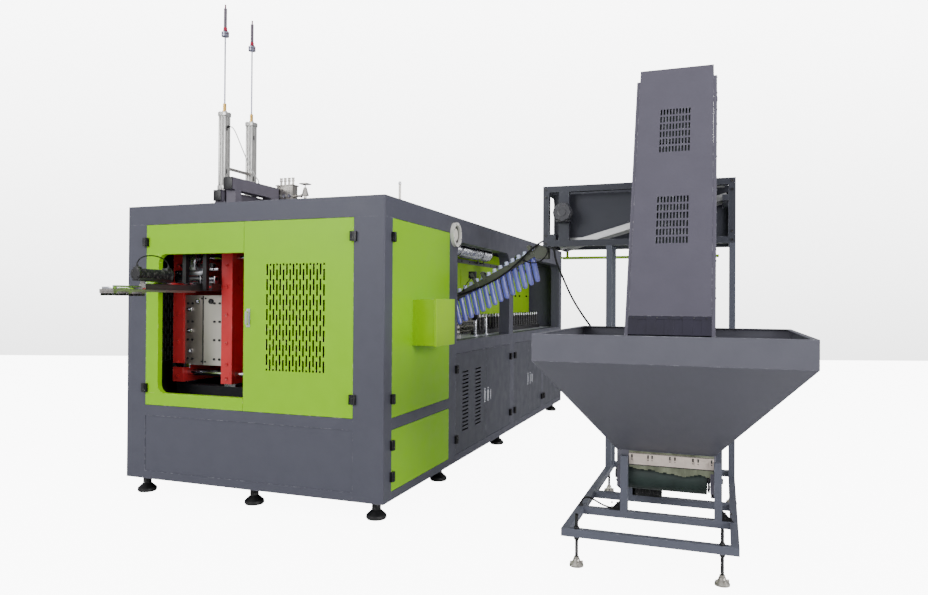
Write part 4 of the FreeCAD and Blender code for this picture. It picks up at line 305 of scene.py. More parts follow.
box_green = finish_material("control_box_green_powder_coat", (0.25, 0.475, 0.001), 0.36,
                            variation=0.02, wear=GREEN_RUBBED)
dress(box_green, "control_box", "oven_casing")
# Behind the first base door's face the louvres' walls are painted near black: painted shade inside
# the louvres.
louvred_grey = grey_coat("base_door_grey_powder_coat", (0.052, 0.054, 0.068), spots=[
    ((0.9785, 1.25, 0.3), (0.9995, 1.8, 0.88), linear(10, 10, 12), 0.6, 0.0),
    side_leaves, ((FACE_RIGHT, None, 0.48), (None, None, 0.62), *CHROMED)])
dress(louvred_grey, *[f"oven_door_{number}" for number in range(1, 7)])
black_steel = finish_material("black_oxide_steel", BLACK, 0.4, variation=0.2,
                              wear=linear(120, 118, 116), shine=0.4)
dress(black_steel, "hinge_leaves")

# The door hinges: a turned pin in three knuckles between each pair of leaves, with two flat
# screws in every leaf. They are black steel, screwed through the leaves into frame and doors.
LEFT, RIGHT, FRONT, REAR, UP = (-1, 0, 0), (1, 0, 0), (0, -1, 0), (0, 1, 0), (0, 0, 1)
FRONT_HINGE_Y, SIDE_HINGE_X = -0.118, 1.018
LEAF_MIDDLE = 0.0115
UPPER_LEVELS, LOWER_LEVELS, BASE_LEVELS = (0.745, 1.753), (0.265, 0.459), (0.293, 0.832)


def rod(metal, start, end, radius, end_radius=None, segments=20):
    """A round bar or cone between two points."""
    start, end = Vector(start), Vector(end)
    turn = (end - start).to_track_quat("Z", "Y").to_matrix().to_4x4()
    return bmesh.ops.create_cone(
        metal, cap_ends=True, segments=segments, radius1=radius,
        radius2=radius if end_radius is None else end_radius,
        depth=(end - start).length, matrix=Matrix.Translation((start + end) / 2) @ turn)["verts"]


def soften(metal, verts, width, rounds=2):
    """Rounds the sharp edges between these corners."""
    edges = {edge for vert in verts for edge in vert.link_edges if len(edge.link_faces) == 2}
    sharp = [edge for edge in edges if edge.calc_face_angle(0.0) > 0.6]
    bmesh.ops.bevel(metal, geom=sharp, offset=width, offset_type="OFFSET", segments=rounds,
                    profile=0.5, affect="EDGES", material=-1, clamp_overlap=True)


def stepped(metal, place, along, steps, edge=0.0, segments=20, rounds=1):
    """Round steps on one line from a place; each is (near, far, radius, end radius or none)."""
    place, along = Vector(place), Vector(along)
    for near, far, *radii in steps:
        verts = rod(metal, place + along * near, place + along * far, *radii, segments=segments)
        if edge:
            soften(metal, verts, edge, rounds)


def block(metal, low, high, edge=0.0, rounds=2, seat=None):
    """A square bar between two corners, its edges rounded, on a leaning seat if there is one."""
    low, high = Vector(low), Vector(high)
    place = Matrix.Translation((low + high) / 2) @ Matrix.Diagonal((*(high - low), 1.0))
    made = bmesh.ops.create_cube(metal, size=1.0, matrix=place if seat is None else seat @ place)
    if edge:
        soften(metal, made["verts"], edge, rounds)


def dished(metal, place, outward, radius, height, rim, depth, segments):
    """A round boss on a face, with a recess sunk in its outer end."""
    place, outward = Vector(place), Vector(outward).normalized()
    verts = rod(metal, place, place + outward * height, radius, segments=segments)
    ends = {face for vert in verts for face in vert.link_faces if len(face.verts) > 4}
    top = [f for f in ends if (f.calc_center_median() - place).dot(outward) > height * 0.8]
    bmesh.ops.inset_individual(metal, faces=top, thickness=rim, depth=0.0)
    bmesh.ops.inset_individual(metal, faces=top, thickness=0.0001, depth=-depth)


def screw(metal, place, outward, radius, height, segments=10):
    """A cap screw on a face, with its socket."""
    dished(metal, place, outward, radius, height, radius * 0.45, height * 0.5, segments)


def screws(metal, xs, ys, zs, outward, *sizes):
    """A cap screw at every crossing of these lines; one line may be a plain number."""
    lines = [line if isinstance(line, (tuple, list)) else (line,) for line in (xs, ys, zs)]
    for place in product(*lines):
        screw(metal, place, outward, *sizes)


def fitted(name, metal, material=black_steel, body="frame", sharp=35.0):
    """Turns finished metal into a piece that moves with a body."""
    bmesh.ops.recalc_face_normals(metal, faces=metal.faces)
    for face in metal.faces:
        face.smooth = True
    for edge in metal.edges:
        edge.smooth = len(edge.link_faces) == 2 and edge.calc_face_angle(0.0) < math.radians(sharp)
    mesh = bpy.data.meshes.new(name)
    metal.to_mesh(mesh)
    metal.free()
    mesh.materials.append(material)
    piece = shown(name, mesh)
    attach(piece, body)
    return piece


def hinge(barrels, place):
    stepped(barrels, place, UP, [(low, high, 0.0065) for low, high in (
        (-0.03, -0.011), (-0.0095, 0.0095), (0.011, 0.03))], 0.0008, 16)
    stepped(barrels, place, UP, [(-0.032, 0.032, 0.0035)], segments=12)


def leaf_screws(metal, x, y, z, outward):
    screws(metal, x, y, (z - 0.018, z + 0.018), outward, 0.0038, 0.0016)


barrels = bmesh.new()
door_screws = {}
for door, seam_x, inward in (("left_front_door", -0.836, 1), ("right_front_door", 0.789, -1)):
    door_screws[door] = bmesh.new()
    for z in UPPER_LEVELS:
        hinge(barrels, (seam_x, FRONT_HINGE_Y, z))
        for metal, side in ((barrels, -inward), (door_screws[door], inward)):
            leaf_screws(metal, seam_x + side * LEAF_MIDDLE, FRONT_HINGE_Y, z, FRONT)
side_hinges = [("upper_side_door", 0.01, 1, UPPER_LEVELS),
               ("lower_side_door", 0.01, 1, LOWER_LEVELS)]
for number in range(1, 7):
    low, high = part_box(f"oven_door_{number}")
    inward = 1 if number % 2 else -1
    seam_y = (low[1] if inward > 0 else high[1]) - inward * 0.00015
    side_hinges.append((f"base_door_{number}", seam_y, inward, BASE_LEVELS))
for door, seam_y, inward, levels in side_hinges:
    door_screws[door] = bmesh.new()
    for z in levels:
        hinge(barrels, (SIDE_HINGE_X, seam_y, z))
        for metal, side in ((barrels, -inward), (door_screws[door], inward)):
            leaf_screws(metal, SIDE_HINGE_X, seam_y + side * LEAF_MIDDLE, z, RIGHT)
fitted("hinge_barrels", barrels)
for door, metal in door_screws.items():
    fitted(f"{door}_hinge_screws", metal, body=door)

# The panel screws: round-headed zinc screws that hold the fixed left and rear sheets to the
# frame, set back from the edges at even steps.
SCREW_INSET = 0.018
zinc = finish_material("zinc_plated_screw", linear(165, 166, 170), 0.3, 1.0, variation=0.15,
                       grain=40.0, shine=0.5)


def screw_border(metal, seat, across, size, step, outward):
    """Screws round a sheet, from its low corner seat."""
    across, up, seat = Vector(across), Vector(UP), Vector(seat)
    for run, lift, length, width in ((across, up, *size), (up, across, *reversed(size))):
        count = max(2, round((length - SCREW_INSET * 2) / step) + 1)
        for number in range(1 if run is up else 0, count - 1 if run is up else count):
            along = SCREW_INSET + (length - SCREW_INSET * 2) * number / (count - 1)
            for side in (SCREW_INSET, width - SCREW_INSET):
                screw(metal, seat + run * along + lift * side, outward, 0.006, 0.003)


sheet_screws = bmesh.new()
for y, z, length, height in ((0.01, 0.17, 0.983, 0.383), (0.01, 0.626, 0.983, 1.246),
                             (1.143, 0.175, 1.484, 0.775), (2.778, 0.175, 1.125, 0.775),
                             (3.99, 0.175, 0.89, 0.775)):
    screw_border(sheet_screws, (-0.996, y, z), REAR, (length, height), 0.32, LEFT)
for z, height in ((0.175, 0.775), (1.05, 0.77)):
    screw_border(sheet_screws, (-0.9, 4.946, z), RIGHT, (1.8, height), 0.36, REAR)
fitted("sheet_screws", sheet_screws, zinc)

# The louvre screen: a plain black sheet screwed behind the first base door's louvres, put there
# as painted shade that keeps the louvres dark. It is flat steel, and six screws hold it to the
# door's inner face.
louvre_shade_sheet = bmesh.new()
block(louvre_shade_sheet, (0.9735, 1.26, 0.31), (0.9778, 1.79, 0.87), 0.001, 1)
screws(louvre_shade_sheet, 0.9735, (1.275, 1.525, 1.775), (0.322, 0.858), LEFT, 0.005, 0.003)
fitted("louvre_shade_sheet", louvre_shade_sheet, body="base_door_1")

# The clamp: cast platens in red paint on four chromed tie bars, with a steel ram that pushes the
# moving one and a black bed below. A washer and a nut hold each tie bar's end.
platen_red = finish_material("platen_red_paint", (0.6, 0.034, 0.038), 0.33, variation=0.1,
                             grain=5.0, peel=500.0, bump=0.08, shine=0.3,
                             wear=linear(170, 150, 145))
dress(platen_red, "fixed_platens", "moving_platen")
chrome = finish_material("chromed_bar", linear(222, 223, 228), 0.12, 1.0, variation=0.05,
                         grain=20.0, bump=0.01, shine=0.5)
dress(chrome, "tie_bars")
ram_steel = finish_material("ram_steel", linear(150, 150, 155), 0.28, 1.0, grain=14.0, shine=0.5)
dress(ram_steel, "clamp_ram")
dress(finish_material("clamp_bed_black_paint", linear(30, 30, 33), 0.5, variation=0.15,
                      wear=linear(110, 108, 105)), "clamp_base")


def nut(metal, place, outward, across, height):
    """A hexagon nut on a face, with its corners eased."""
    place, outward = Vector(place), Vector(outward).normalized()
    verts = rod(metal, place, place + outward * height, across / 1.732, segments=6)
    soften(metal, verts, across * 0.04, 1)


tie_nuts = bmesh.new()
for y, z, (x, outward) in product((0.232, 0.878), (0.827, 1.66), ((-0.843, -1), (-0.134, 1))):
    stepped(tie_nuts, (x, y, z), (outward, 0, 0), [(0, 0.012, 0.046)], 0.0015, 32)
    nut(tie_nuts, (x + outward * 0.012, y, z), (outward, 0, 0), 0.076, 0.016)
fitted("tie_bar_nuts", tie_nuts, ram_steel)
PLATEN_LEVELS = (0.8, 0.9, 1.05, 1.25, 1.45, 1.6, 1.72)
for name, xs, body in (("fixed", (-0.797, -0.169), "frame"), ("moving", -0.371, "clamp_carriage")):
    platen_screws = bmesh.new()
    screws(platen_screws, xs, 0.17, PLATEN_LEVELS, FRONT, 0.011, 0.008, 14)
    fitted(f"{name}_platen_screws", platen_screws, platen_red, body)

# The moulds: two aluminium blocks, hard coated a brownish grey, that close on the bottles.
# Socket screws, clamps and eyes sit in their front faces, and a dark strip marks the parting.
MOULD_FACE = 0.188
MOULD_LEVELS = (0.93, 1.067, 1.199, 1.33)
# The left half's coat is darker than the right's though both are the same hard coat: the difference
# is painted shade on the left half.
for side, coat, gloss, body, columns, edge_x in (
        ("left", (0.28, 0.25, 0.22), 0.36, "frame", (-0.722, -0.682), -0.6),
        ("right", (0.46, 0.43, 0.39), 0.34, "clamp_carriage", (-0.49, -0.445), -0.568)):
    dress(finish_material(f"{side}_mould_hard_coat", coat, gloss, 0.8, grain=7.0, peel=700.0,
                          bump=0.06, stretch=(1.0, 1.0, 0.25), wear=linear(205, 200, 190),
                          shine=0.5), f"mould_{side}")
    mould_screws = bmesh.new()
    screws(mould_screws, columns, MOULD_FACE, MOULD_LEVELS, FRONT, 0.0085, 0.007, 14)
    screws(mould_screws, edge_x, MOULD_FACE, (0.91, 1.365), FRONT, 0.006, 0.007, 14)
    if side == "right":
        dished(mould_screws, (-0.52, MOULD_FACE, 1.344), FRONT, 0.019, 0.01, 0.007, 0.006, 28)
    fitted(f"{side}_mould_screws", mould_screws, body=body)
mould_clamps = bmesh.new()
for z in (1.286, 1.133):
    block(mould_clamps, (-0.722, 0.172, z - 0.012), (-0.682, MOULD_FACE, z + 0.012), 0.003)
    screw(mould_clamps, (-0.702, 0.172, z), FRONT, 0.007, 0.006, 12)
for x, z, radius in ((-0.63, 1.344, 0.019), (-0.695, 0.985, 0.016)):
    dished(mould_clamps, (x, MOULD_FACE, z), FRONT, radius, 0.012, radius * 0.35, 0.009, 28)
block(mould_clamps, (-0.836, 0.158, 0.868), (-0.68, 0.17, 0.896), 0.002)
fitted("left_mould_clamps", mould_clamps, chrome)
parting_strip = bmesh.new()
block(parting_strip, (-0.596, 0.1865, 0.89), (-0.5855, 0.1885, 1.384), 0.0005, 1)
fitted("mould_parting_strip", parting_strip)

# The neck guide: a steel strip and two round bars in front of the moulds, on the left platen.
# Its silver block has three slots, their shade painted as thin black blocks on its face, and its
# rollers are black bearings. Two more bars in line with them are bolted to the take-out's
# carriage and slide in with it.
neck_guide = bmesh.new()
block(neck_guide, (-0.82, 0.156, 1.53), (-0.572, 0.17, 1.566), 0.002)
block(neck_guide, (-0.62, 0.158, 1.5635), (-0.44, 0.17, 1.582), 0.002)
screws(neck_guide, (-0.806, -0.78), 0.156, 1.548, FRONT, 0.007, 0.006, 12)
block(neck_guide, (-0.7, 0.112, 1.566), (-0.596, 0.168, 1.686), 0.004)
fitted("neck_guide_plate", neck_guide, ram_steel)
round_bars = bmesh.new()
for z, radius in ((1.506, 0.019), (1.479, 0.0065)):
    stepped(round_bars, (0, 0.149, z), RIGHT, [(-0.8, -0.572, radius)], 0.002, 24)
fitted("neck_guide_round_bars", round_bars, ram_steel)
carriage_bars = bmesh.new()
for z, radius in ((1.5035, 0.0165), (1.4795, 0.0065)):
    stepped(carriage_bars, (0, 0.128, z), RIGHT, [(-0.567, -0.427, radius)], 0.002, 24)
for x in (-0.557, -0.433):
    block(carriage_bars, (x - 0.006, 0.11, 1.4705), (x + 0.006, 0.146, 1.5225), 0.002)
fitted("take_out_carriage_bars", carriage_bars, ram_steel, body="takeout")
guide_bars = bmesh.new()
for x in (-0.79, -0.585):
    block(guide_bars, (x - 0.009, 0.134, 1.4735), (x + 0.009, 0.164, 1.53), 0.002)
# Three thin black blocks on the silver block's face: painted shade for its slots.
for x in (-0.678, -0.648, -0.618):
    block(guide_bars, (x - 0.006, 0.1105, 1.585), (x + 0.006, 0.116, 1.64), 0.001)
for x in (-0.735, -0.56, -0.48):
    dished(guide_bars, (x, 0.164, 1.6), FRONT, 0.017, 0.028, 0.007, 0.005, 28)
    block(guide_bars, (x - 0.006, 0.158, 1.566), (x + 0.006, 0.166, 1.6), 0.001)
fitted("neck_guide_bars", guide_bars)

# The stretch cylinders: extruded aluminium barrels with sensor grooves on every side, cast end
# caps held by four screws, and a brass bush round the rod. They stand on the lower roof beam.
ROD_X, ROD_ROWS = -0.584, (0.395, 0.718)
BARREL, CAP_TOP = (2.212, 2.728), 2.76
CORE, RIB, RIM, CAP = 0.0255, 0.0245, 0.031, 0.035
extruded = finish_material("extruded_aluminium", (0.5, 0.495, 0.475), 0.36, 0.75, variation=0.06,
                           grain=6.0, bump=0.05, stretch=(10.0, 10.0, 0.4), shine=0.4)
brass = finish_material("turned_brass", (0.62, 0.38, 0.09), 0.24, 1.0, variation=0.1, grain=30.0,
                        peel=1200.0, stretch=(1.0, 1.0, 12.0), shine=0.5)


def row(start, step, count):
    """Places at even steps on a line."""
    return [start + number * step for number in range(count)]


def post(metal, spans_x, spans_y, low, high, edge, rounds=2):
    """An upright square bar round the rod's line, from two spans that may be given either way."""
    (x_low, x_high), (y_low, y_high) = sorted(spans_x), sorted(spans_y)
    block(metal, (ROD_X + x_low, y_low, low), (ROD_X + x_high, y_high, high), edge, rounds)


for number, y in enumerate(ROD_ROWS, start=1):
    barrel = bmesh.new()
    post(barrel, (-CORE, CORE), (y - CORE, y + CORE), *BARREL, 0.0)
    for side_x, side_y in product((-1, 1), repeat=2):
        post(barrel, (side_x * RIM, side_x * 0.014), (y + side_y * RIM, y + side_y * 0.014),
             *BARREL, 0.003)
    for side in (-1, 1):
        post(barrel, (side * RIB, side * RIM), (y - 0.006, y + 0.006), *BARREL, 0.001, 1)
        post(barrel, (-0.006, 0.006), (y + side * RIB, y + side * RIM), *BARREL, 0.001, 1)
    for low, high in ((2.17, BARREL[0]), (BARREL[1], CAP_TOP)):
        post(barrel, (-CAP, CAP), (y - CAP, y + CAP), low, high, 0.004)
    screws(barrel, (ROD_X - 0.024, ROD_X + 0.024), (y - 0.024, y + 0.024), CAP_TOP, UP,
           0.006, 0.004, 12)
    for z in (2.191, 2.744):
        dished(barrel, (ROD_X, y - CAP, z), FRONT, 0.009, 0.004, 0.003, 0.003, 20)
    cylinder = fitted(f"stretch_cylinder_{number}", barrel, extruded)
    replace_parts(cylinder, "stretch_cylinders")
    bush = bmesh.new()
    stepped(bush, (ROD_X, y, 0), UP, [(CAP_TOP, 2.772, 0.017)], 0.001, 28)
    for low in row(2.772, 0.006, 9):
        stepped(bush, (ROD_X, y, low), UP, [(0, 0.004, 0.0128), (0.004, 0.006, 0.0116)],
                segments=24)
    fitted(f"stretch_bush_{number}", bush, brass)
    switch = bmesh.new()
    for z in (2.3, 2.62):
        post(switch, (CORE, 0.0335), (y - 0.0125, y - 0.0068), z, z + 0.032, 0.001, 1)
        screw(switch, (ROD_X + 0.0335, y - 0.0096, z + 0.006), RIGHT, 0.0018, 0.0008, 8)
    fitted(f"stretch_switch_{number}", switch)

# The stretch rods: polished steel with a dark sleeve at the top, a red stop collar below it and
# two aluminium clamp plates, all of which go up and down with the rod.
SLEEVE_LOW, SLEEVE_HIGH = 3.3972, 3.5402
rod_steel = finish_material(
    "stretch_rod_steel", linear(150, 150, 166), 0.22, 1.0, variation=0.08, grain=30.0,
    stretch=(1.0, 1.0, 0.2), shine=0.5, spots=[
        ((None, None, 3.37), (None, None, SLEEVE_LOW), (0.28, 0.006, 0.03), 0.4, 1.0),
        ((None, None, SLEEVE_LOW), (None, None, SLEEVE_HIGH), linear(88, 80, 90), 0.35, 0.3),
        ((None, None, SLEEVE_HIGH), OPEN, (0.12, 0.02, 0.05), 0.4, 0.0)])
dress(rod_steel, "stretch_rod_1", "stretch_rod_2")
red_stop = finish_material("stop_collar_red", (0.3, 0.006, 0.035), 0.35, variation=0.1, shine=0.3)
for number, y in zip(("one", "two"), ROD_ROWS):
    collar = bmesh.new()
    stepped(collar, (ROD_X, y, 0), UP, [(3.372, 3.38, 0.0165), (3.38, 3.3965, 0.0145)], 0.001, 24)
    for z, x in product((3.3435, 3.3625), (-0.606, -0.562)):
        nut(collar, (x, y, z), UP, 0.009, 0.005)
    fitted(f"stretch_collar_{number}", collar, red_stop, f"stretch_{number}")

# The roof beams: two square steel tubes, painted a purplish grey, with black plastic end plugs.
# They carry the stretch cylinders and stand on short posts bolted to the header.
ROOF = 2.003
beam_end = (OPEN, (None, 0.3235, None), linear(30, 28, 38), 0.5, 0.0)
dress(finish_material("roof_beam_paint", linear(92, 88, 98), 0.38, variation=0.08, wear=RUBBED,
                      shine=0.25, spots=[beam_end]), "roof_beams")
beam_ends = bmesh.new()
block(beam_ends, (-0.617, 0.3165, 2.092), (-0.551, 0.32, 2.168), 0.002)
block(beam_ends, (-0.528, 0.3165, 2.172), (-0.452, 0.32, 2.258), 0.002)
for y in ROD_ROWS:
    screws(beam_ends, (ROD_X - 0.039, ROD_X + 0.039), (y - 0.039, y + 0.039), ROOF, UP,
           0.005, 0.006)
fitted("beam_end_plugs", beam_ends)

# The air set on the roof: a stainless tank with a lid, four valves with knobs, a pillar and a
# bracket plate. Thin plates and short pipes join them, all in brushed or polished steel.
PIPE_LEVELS = (2.06, 2.13, 2.2)
brushed = finish_material("brushed_stainless", linear(176, 172, 166), 0.3, 1.0, grain=3.0,
                          peel=300.0, bump=0.08, stretch=(30.0, 30.0, 0.6), shine=0.5)
dress(brushed, "roof_fittings")
air_set = bmesh.new()
for x in (-0.46, -0.423, -0.385, -0.348):
    stepped(air_set, (x, 0.95, 0), UP, [(2.322, 2.33, 0.013), (2.33, 2.344, 0.0105),
                                        (2.344, 2.352, 0.0125)], 0.001)
screws(air_set, (-0.47, -0.338), (0.92, 0.98), 2.29, UP, 0.006, 0.005, 12)
for z in PIPE_LEVELS:
    stepped(air_set, (0, 0.95, z), RIGHT, [(-0.329, -0.264, 0.009)])
    nut(air_set, (-0.329, 0.95, z), RIGHT, 0.026, 0.01)
    nut(air_set, (-0.264, 0.95, z), LEFT, 0.026, 0.01)
block(air_set, (-0.27, 0.914, 2.29), (-0.198, 0.986, 2.298), 0.002)
block(air_set, (-0.3, 0.42, ROOF), (-0.16, 0.88, 2.012), 0.002)
block(air_set, (-0.28, 0.46, 2.012), (-0.18, 0.62, 2.06), 0.006)
block(air_set, (-0.27, 0.68, 2.012), (-0.19, 0.84, 2.045), 0.006)
for y in (0.5, 0.58, 0.72, 0.8):
    stepped(air_set, (-0.23, y, 0), UP, [(2.045, 2.085, 0.011)])
    nut(air_set, (-0.23, y, 2.085), UP, 0.028, 0.012)
fitted("roof_air_set", air_set, brushed)
tank_plugs = bmesh.new()
for z, x in product(PIPE_LEVELS, (-0.455, -0.405, -0.355)):
    dished(tank_plugs, (x, 0.915, z), FRONT, 0.014, 0.01, 0.003, 0.003, 24)
fitted("roof_tank_plugs", tank_plugs, chrome)

# The pole at the casing's right: a thin steel pin with a ball on it, chromed.
# A nut at its foot holds it to the roof.
pole_tip = bmesh.new()
bmesh.ops.create_uvsphere(pole_tip, u_segments=20, v_segments=12, radius=0.0105,
                          matrix=Matrix.Translation((0.95, 0.215, 2.12)))
nut(pole_tip, (0.95, 0.215, ROOF), UP, 0.026, 0.012)
fitted("roof_pole_ball", pole_tip, chrome)

# The take-out arm: a bright plate on a beam, three gripper bars with black jaws under it, and
# a dark round drive above. It slides along two steel bars that hang inside the cabinet.
ARM_TOP = 1.416
slide_bars = ((None, 0.0405, 1.43), (None, 0.9625, 1.46), linear(205, 206, 210), 0.16, 1.0)
drive_seat = ((None, -0.4595, 1.4165), OPEN, linear(70, 66, 66), 0.35, 0.6)
dress(finish_material("hanger_dark_steel", linear(24, 24, 26), 0.42, 0.2, variation=0.15,
                      shine=0.4, spots=[slide_bars]), "takeout_slide")
dress(finish_material("take_out_arm_steel", linear(150, 146, 142), 0.3, 0.9, grain=4.0,
                      peel=300.0, bump=0.08, stretch=(20.0, 0.6, 20.0), shine=0.5,
                      wear=linear(215, 212, 205), spots=[drive_seat]), "takeout_arm")
jaws = bmesh.new()
for y, x in product((-0.712, -0.6, -0.488), (-0.58, -0.548, -0.52, -0.488)):
    block(jaws, (x - 0.006, y - 0.011, 1.376), (x + 0.006, y + 0.011, 1.391), 0.002)
screws(jaws, (-0.566, -0.474), (-0.66, -0.546, -0.3, -0.1), ARM_TOP, UP, 0.005, 0.004, 12)
fitted("take_out_jaws", jaws, body="takeout")
arm_plate = bmesh.new()
for y, x in product((-0.712, -0.6), (-0.552, -0.488)):
    nut(arm_plate, (x, y, ARM_TOP), UP, 0.014, 0.007)
block(arm_plate, (-0.562, -0.735, ARM_TOP), (-0.478, -0.7, 1.43), 0.002)
block(arm_plate, (-0.558, -0.69, ARM_TOP), (-0.548, -0.47, 1.426), 0.001)
block(arm_plate, (-0.492, -0.69, ARM_TOP), (-0.482, -0.47, 1.426), 0.001)
block(arm_plate, (-0.5028, -0.455, 1.454), (-0.496, 0.0, 1.468), 0.0015)
stepped(arm_plate, (-0.52, 0, 1.434), REAR, [(-0.69, -0.47, 0.006)], segments=18)
fitted("take_out_rails", arm_plate, chrome, body="takeout")


def screw_ring(metal, centre, outward, reach, count, radius, height, first=0.5, segments=10):
    """Cap screws at even steps on a circle, on a face that looks along X or Y."""
    across = Vector(REAR if outward[0] else RIGHT)
    for step in range(count):
        turn = math.tau * (step + first) / count
        spoke = across * math.cos(turn) + Vector(UP) * math.sin(turn)
        screw(metal, Vector(centre) + spoke * reach, outward, radius, height, segments)


drive = bmesh.new()
DRIVE_LINE = (-0.52, 0, 1.515)
stepped(drive, DRIVE_LINE, REAR, [(-0.52, -0.503, 0.0375), (-0.503, -0.5, 0.032),
                                  (-0.24, -0.237, 0.032), (-0.237, -0.22, 0.0375)], 0.0012, 36)
stepped(drive, DRIVE_LINE, REAR, [(-0.5, -0.24, 0.0305)], segments=36)
stepped(drive, DRIVE_LINE, REAR, [
    (near, near + 0.006, 0.035) for near in row(-0.492, 0.0145, 17)], 0.001, 36)
block(drive, (-0.548, -0.515, 1.471), (-0.492, -0.225, 1.49), 0.002)
block(drive, (-0.542, -0.27, 1.53), (-0.498, -0.226, 1.56), 0.003)
block(drive, (-0.54, -0.519, 1.53), (-0.5, -0.486, 1.56), 0.003)
screw_ring(drive, (-0.52, -0.52, 1.515), FRONT, 0.028, 4, 0.004, 0.003)
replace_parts(fitted("take_out_drive", drive, body="takeout"), "takeout_actuator")

# The table: a ground steel plate under the oven and the preform transfer, with light machining
# marks. On it stand the transfer's chromed posts, a small air cylinder and black clamp blocks.
TABLE = 1.05
dress(finish_material("table_ground_steel", linear(176, 178, 184), 0.4, 0.35, variation=0.1,
                      grain=2.5, peel=260.0, bump=0.08, stretch=(0.5, 14.0, 1.0), shine=0.5,
                      wear=linear(200, 200, 200)), "table_plate")
posts = bmesh.new()
for x, y, high in ((0.905, 1.31, 1.27), (0.86, 2.0, 1.3), (0.86, 2.3, 1.21), (0.62, 1.45, 1.32),
                   (0.62, 1.95, 1.32)):
    stepped(posts, (x, y, 0), UP, [(TABLE, 1.062, 0.03)], 0.002, 28)
    stepped(posts, (x, y, 0), UP, [(1.062, high, 0.013)], 0.002, 24)
block(posts, (0.845, 1.25, TABLE), (0.895, 1.4, 1.062), 0.003)
fitted("transfer_posts", posts, chrome)
transfer = bmesh.new()
for x, y, high in ((0.905, 1.31, 1.2), (0.86, 2.0, 1.24), (0.62, 1.45, 1.25), (0.62, 1.95, 1.25)):
    block(transfer, (x - 0.024, y - 0.024, high - 0.05), (x + 0.024, y + 0.024, high), 0.004)
    screw(transfer, (x + 0.024, y, high - 0.025), RIGHT, 0.007, 0.005, 12)
block(transfer, (0.6, 1.47, 1.21), (0.64, 1.93, 1.235), 0.004)
block(transfer, (0.5, 1.45, TABLE), (0.56, 1.95, 1.1), 0.005)
for y in row(1.5, 0.08, 6):
    stepped(transfer, (0.53, y, 0), UP, [(1.1, 1.15, 0.016)], 0.0015)
fitted("transfer_blocks", transfer)

# The clips on the table: small white plastic saddles beside the transfer.
# They are moulded, and they hold its thin leads down.
clips = bmesh.new()
for y in (1.36, 1.44, 1.52, 1.6):
    block(clips, (0.836, y - 0.006, TABLE), (0.868, y + 0.006, 1.072), 0.002)
white_clip = finish_material("white_clip_plastic", linear(205, 204, 198), 0.4, variation=0.05,
                             shine=0.4)
fitted("wire_clips", clips, white_clip)

# The oven hood: folded sheet in the doors' green, screwed along its edges, with a row of hatches
# on either side. Each hatch on the near side has two black knobs.
HOOD_NEAR, HOOD_FAR = 0.6, 0.22
hood_screws = bmesh.new()
for x, outward in ((HOOD_NEAR, RIGHT), (HOOD_FAR, LEFT)):
    screws(hood_screws, x, row(2.33, 0.262, 10), (1.25, 1.81), outward, 0.005, 0.003)
screws(hood_screws, (0.26, 0.56), (2.24, 3.1, 3.96, 4.8), 1.85, UP, 0.005, 0.003)
fitted("hood_screws", hood_screws, zinc)
hatches, knobs = bmesh.new(), bmesh.new()
for y in row(2.32, 0.5, 5):
    block(hatches, (HOOD_NEAR, y, 1.4), (0.604, y + 0.4, 1.66), 0.0015, 1)
    block(hatches, (0.216, y, 1.4), (HOOD_FAR, y + 0.4, 1.66), 0.0015, 1)
    for knob_y in (y + 0.04, y + 0.36):
        stepped(knobs, (0, knob_y, 1.43), RIGHT, [(0.604, 0.62, 0.011)], 0.002, 18)
fitted("hood_hatches", hatches, box_green)
fitted("hood_knobs", knobs)

# The lamp bank: bright reflectors with quartz lamps in ceramic sockets. The hook bar above them
# is plain steel, and both hooks are turned up at the tip.
REFLECTOR = 0.6002
dress(finish_material("lamp_bank_finish", linear(196, 196, 190), 0.25, 0.9, variation=0.06,
                      grain=8.0, shine=0.5, spots=[
    ((REFLECTOR, None, TABLE), (None, None, 1.22), linear(214, 208, 196), 0.15, 0.9),
    ((REFLECTOR, None, 1.7), OPEN, linear(112, 110, 116), 0.34, 0.8)]), "lamp_bank")
sockets = bmesh.new()
for z, y in product((1.207, 1.162, 1.117, 1.072), (2.2, 2.85, 3.5, 4.15, 4.79)):
    block(sockets, (0.5995, y, z - 0.012), (0.618, y + 0.05, z + 0.012), 0.003)
ceramic = finish_material("socket_ceramic", linear(222, 218, 206), 0.55, variation=0.05, grain=40.0,
                          bump=0.1, shine=0.3)
fitted("lamp_sockets", sockets, ceramic)
bar_screws = bmesh.new()
screws(bar_screws, 0.618, row(2.3, 0.22, 12), 1.7375, RIGHT, 0.006, 0.004)
fitted("hook_bar_screws", bar_screws)

# The spindle chain: a dark steel track with upright mandrels. Each mandrel has a toothed gear,
# a collar and a bright nose that the preform's neck drops on.
dress(finish_material("spindle_chain_steel", linear(46, 45, 47), 0.4, 0.5, variation=0.2,
                      wear=linear(140, 138, 134), shine=0.4), "spindle_chain")
gears, noses = bmesh.new(), bmesh.new()
for y in row(2.3, 0.1, 24):
    stepped(gears, (0.76, y, 0), UP, [(1.092, 1.104, 0.026), (1.118, 1.124, 0.021),
                                      (1.15, 1.156, 0.021)])
    stepped(noses, (0.76, y, 0), UP, [(1.2, 1.232, 0.0135, 0.0115), (1.232, 1.24, 0.0115, 0.006)],
            segments=16)
fitted("spindle_gears", gears)
fitted("spindle_noses", noses, ram_steel)

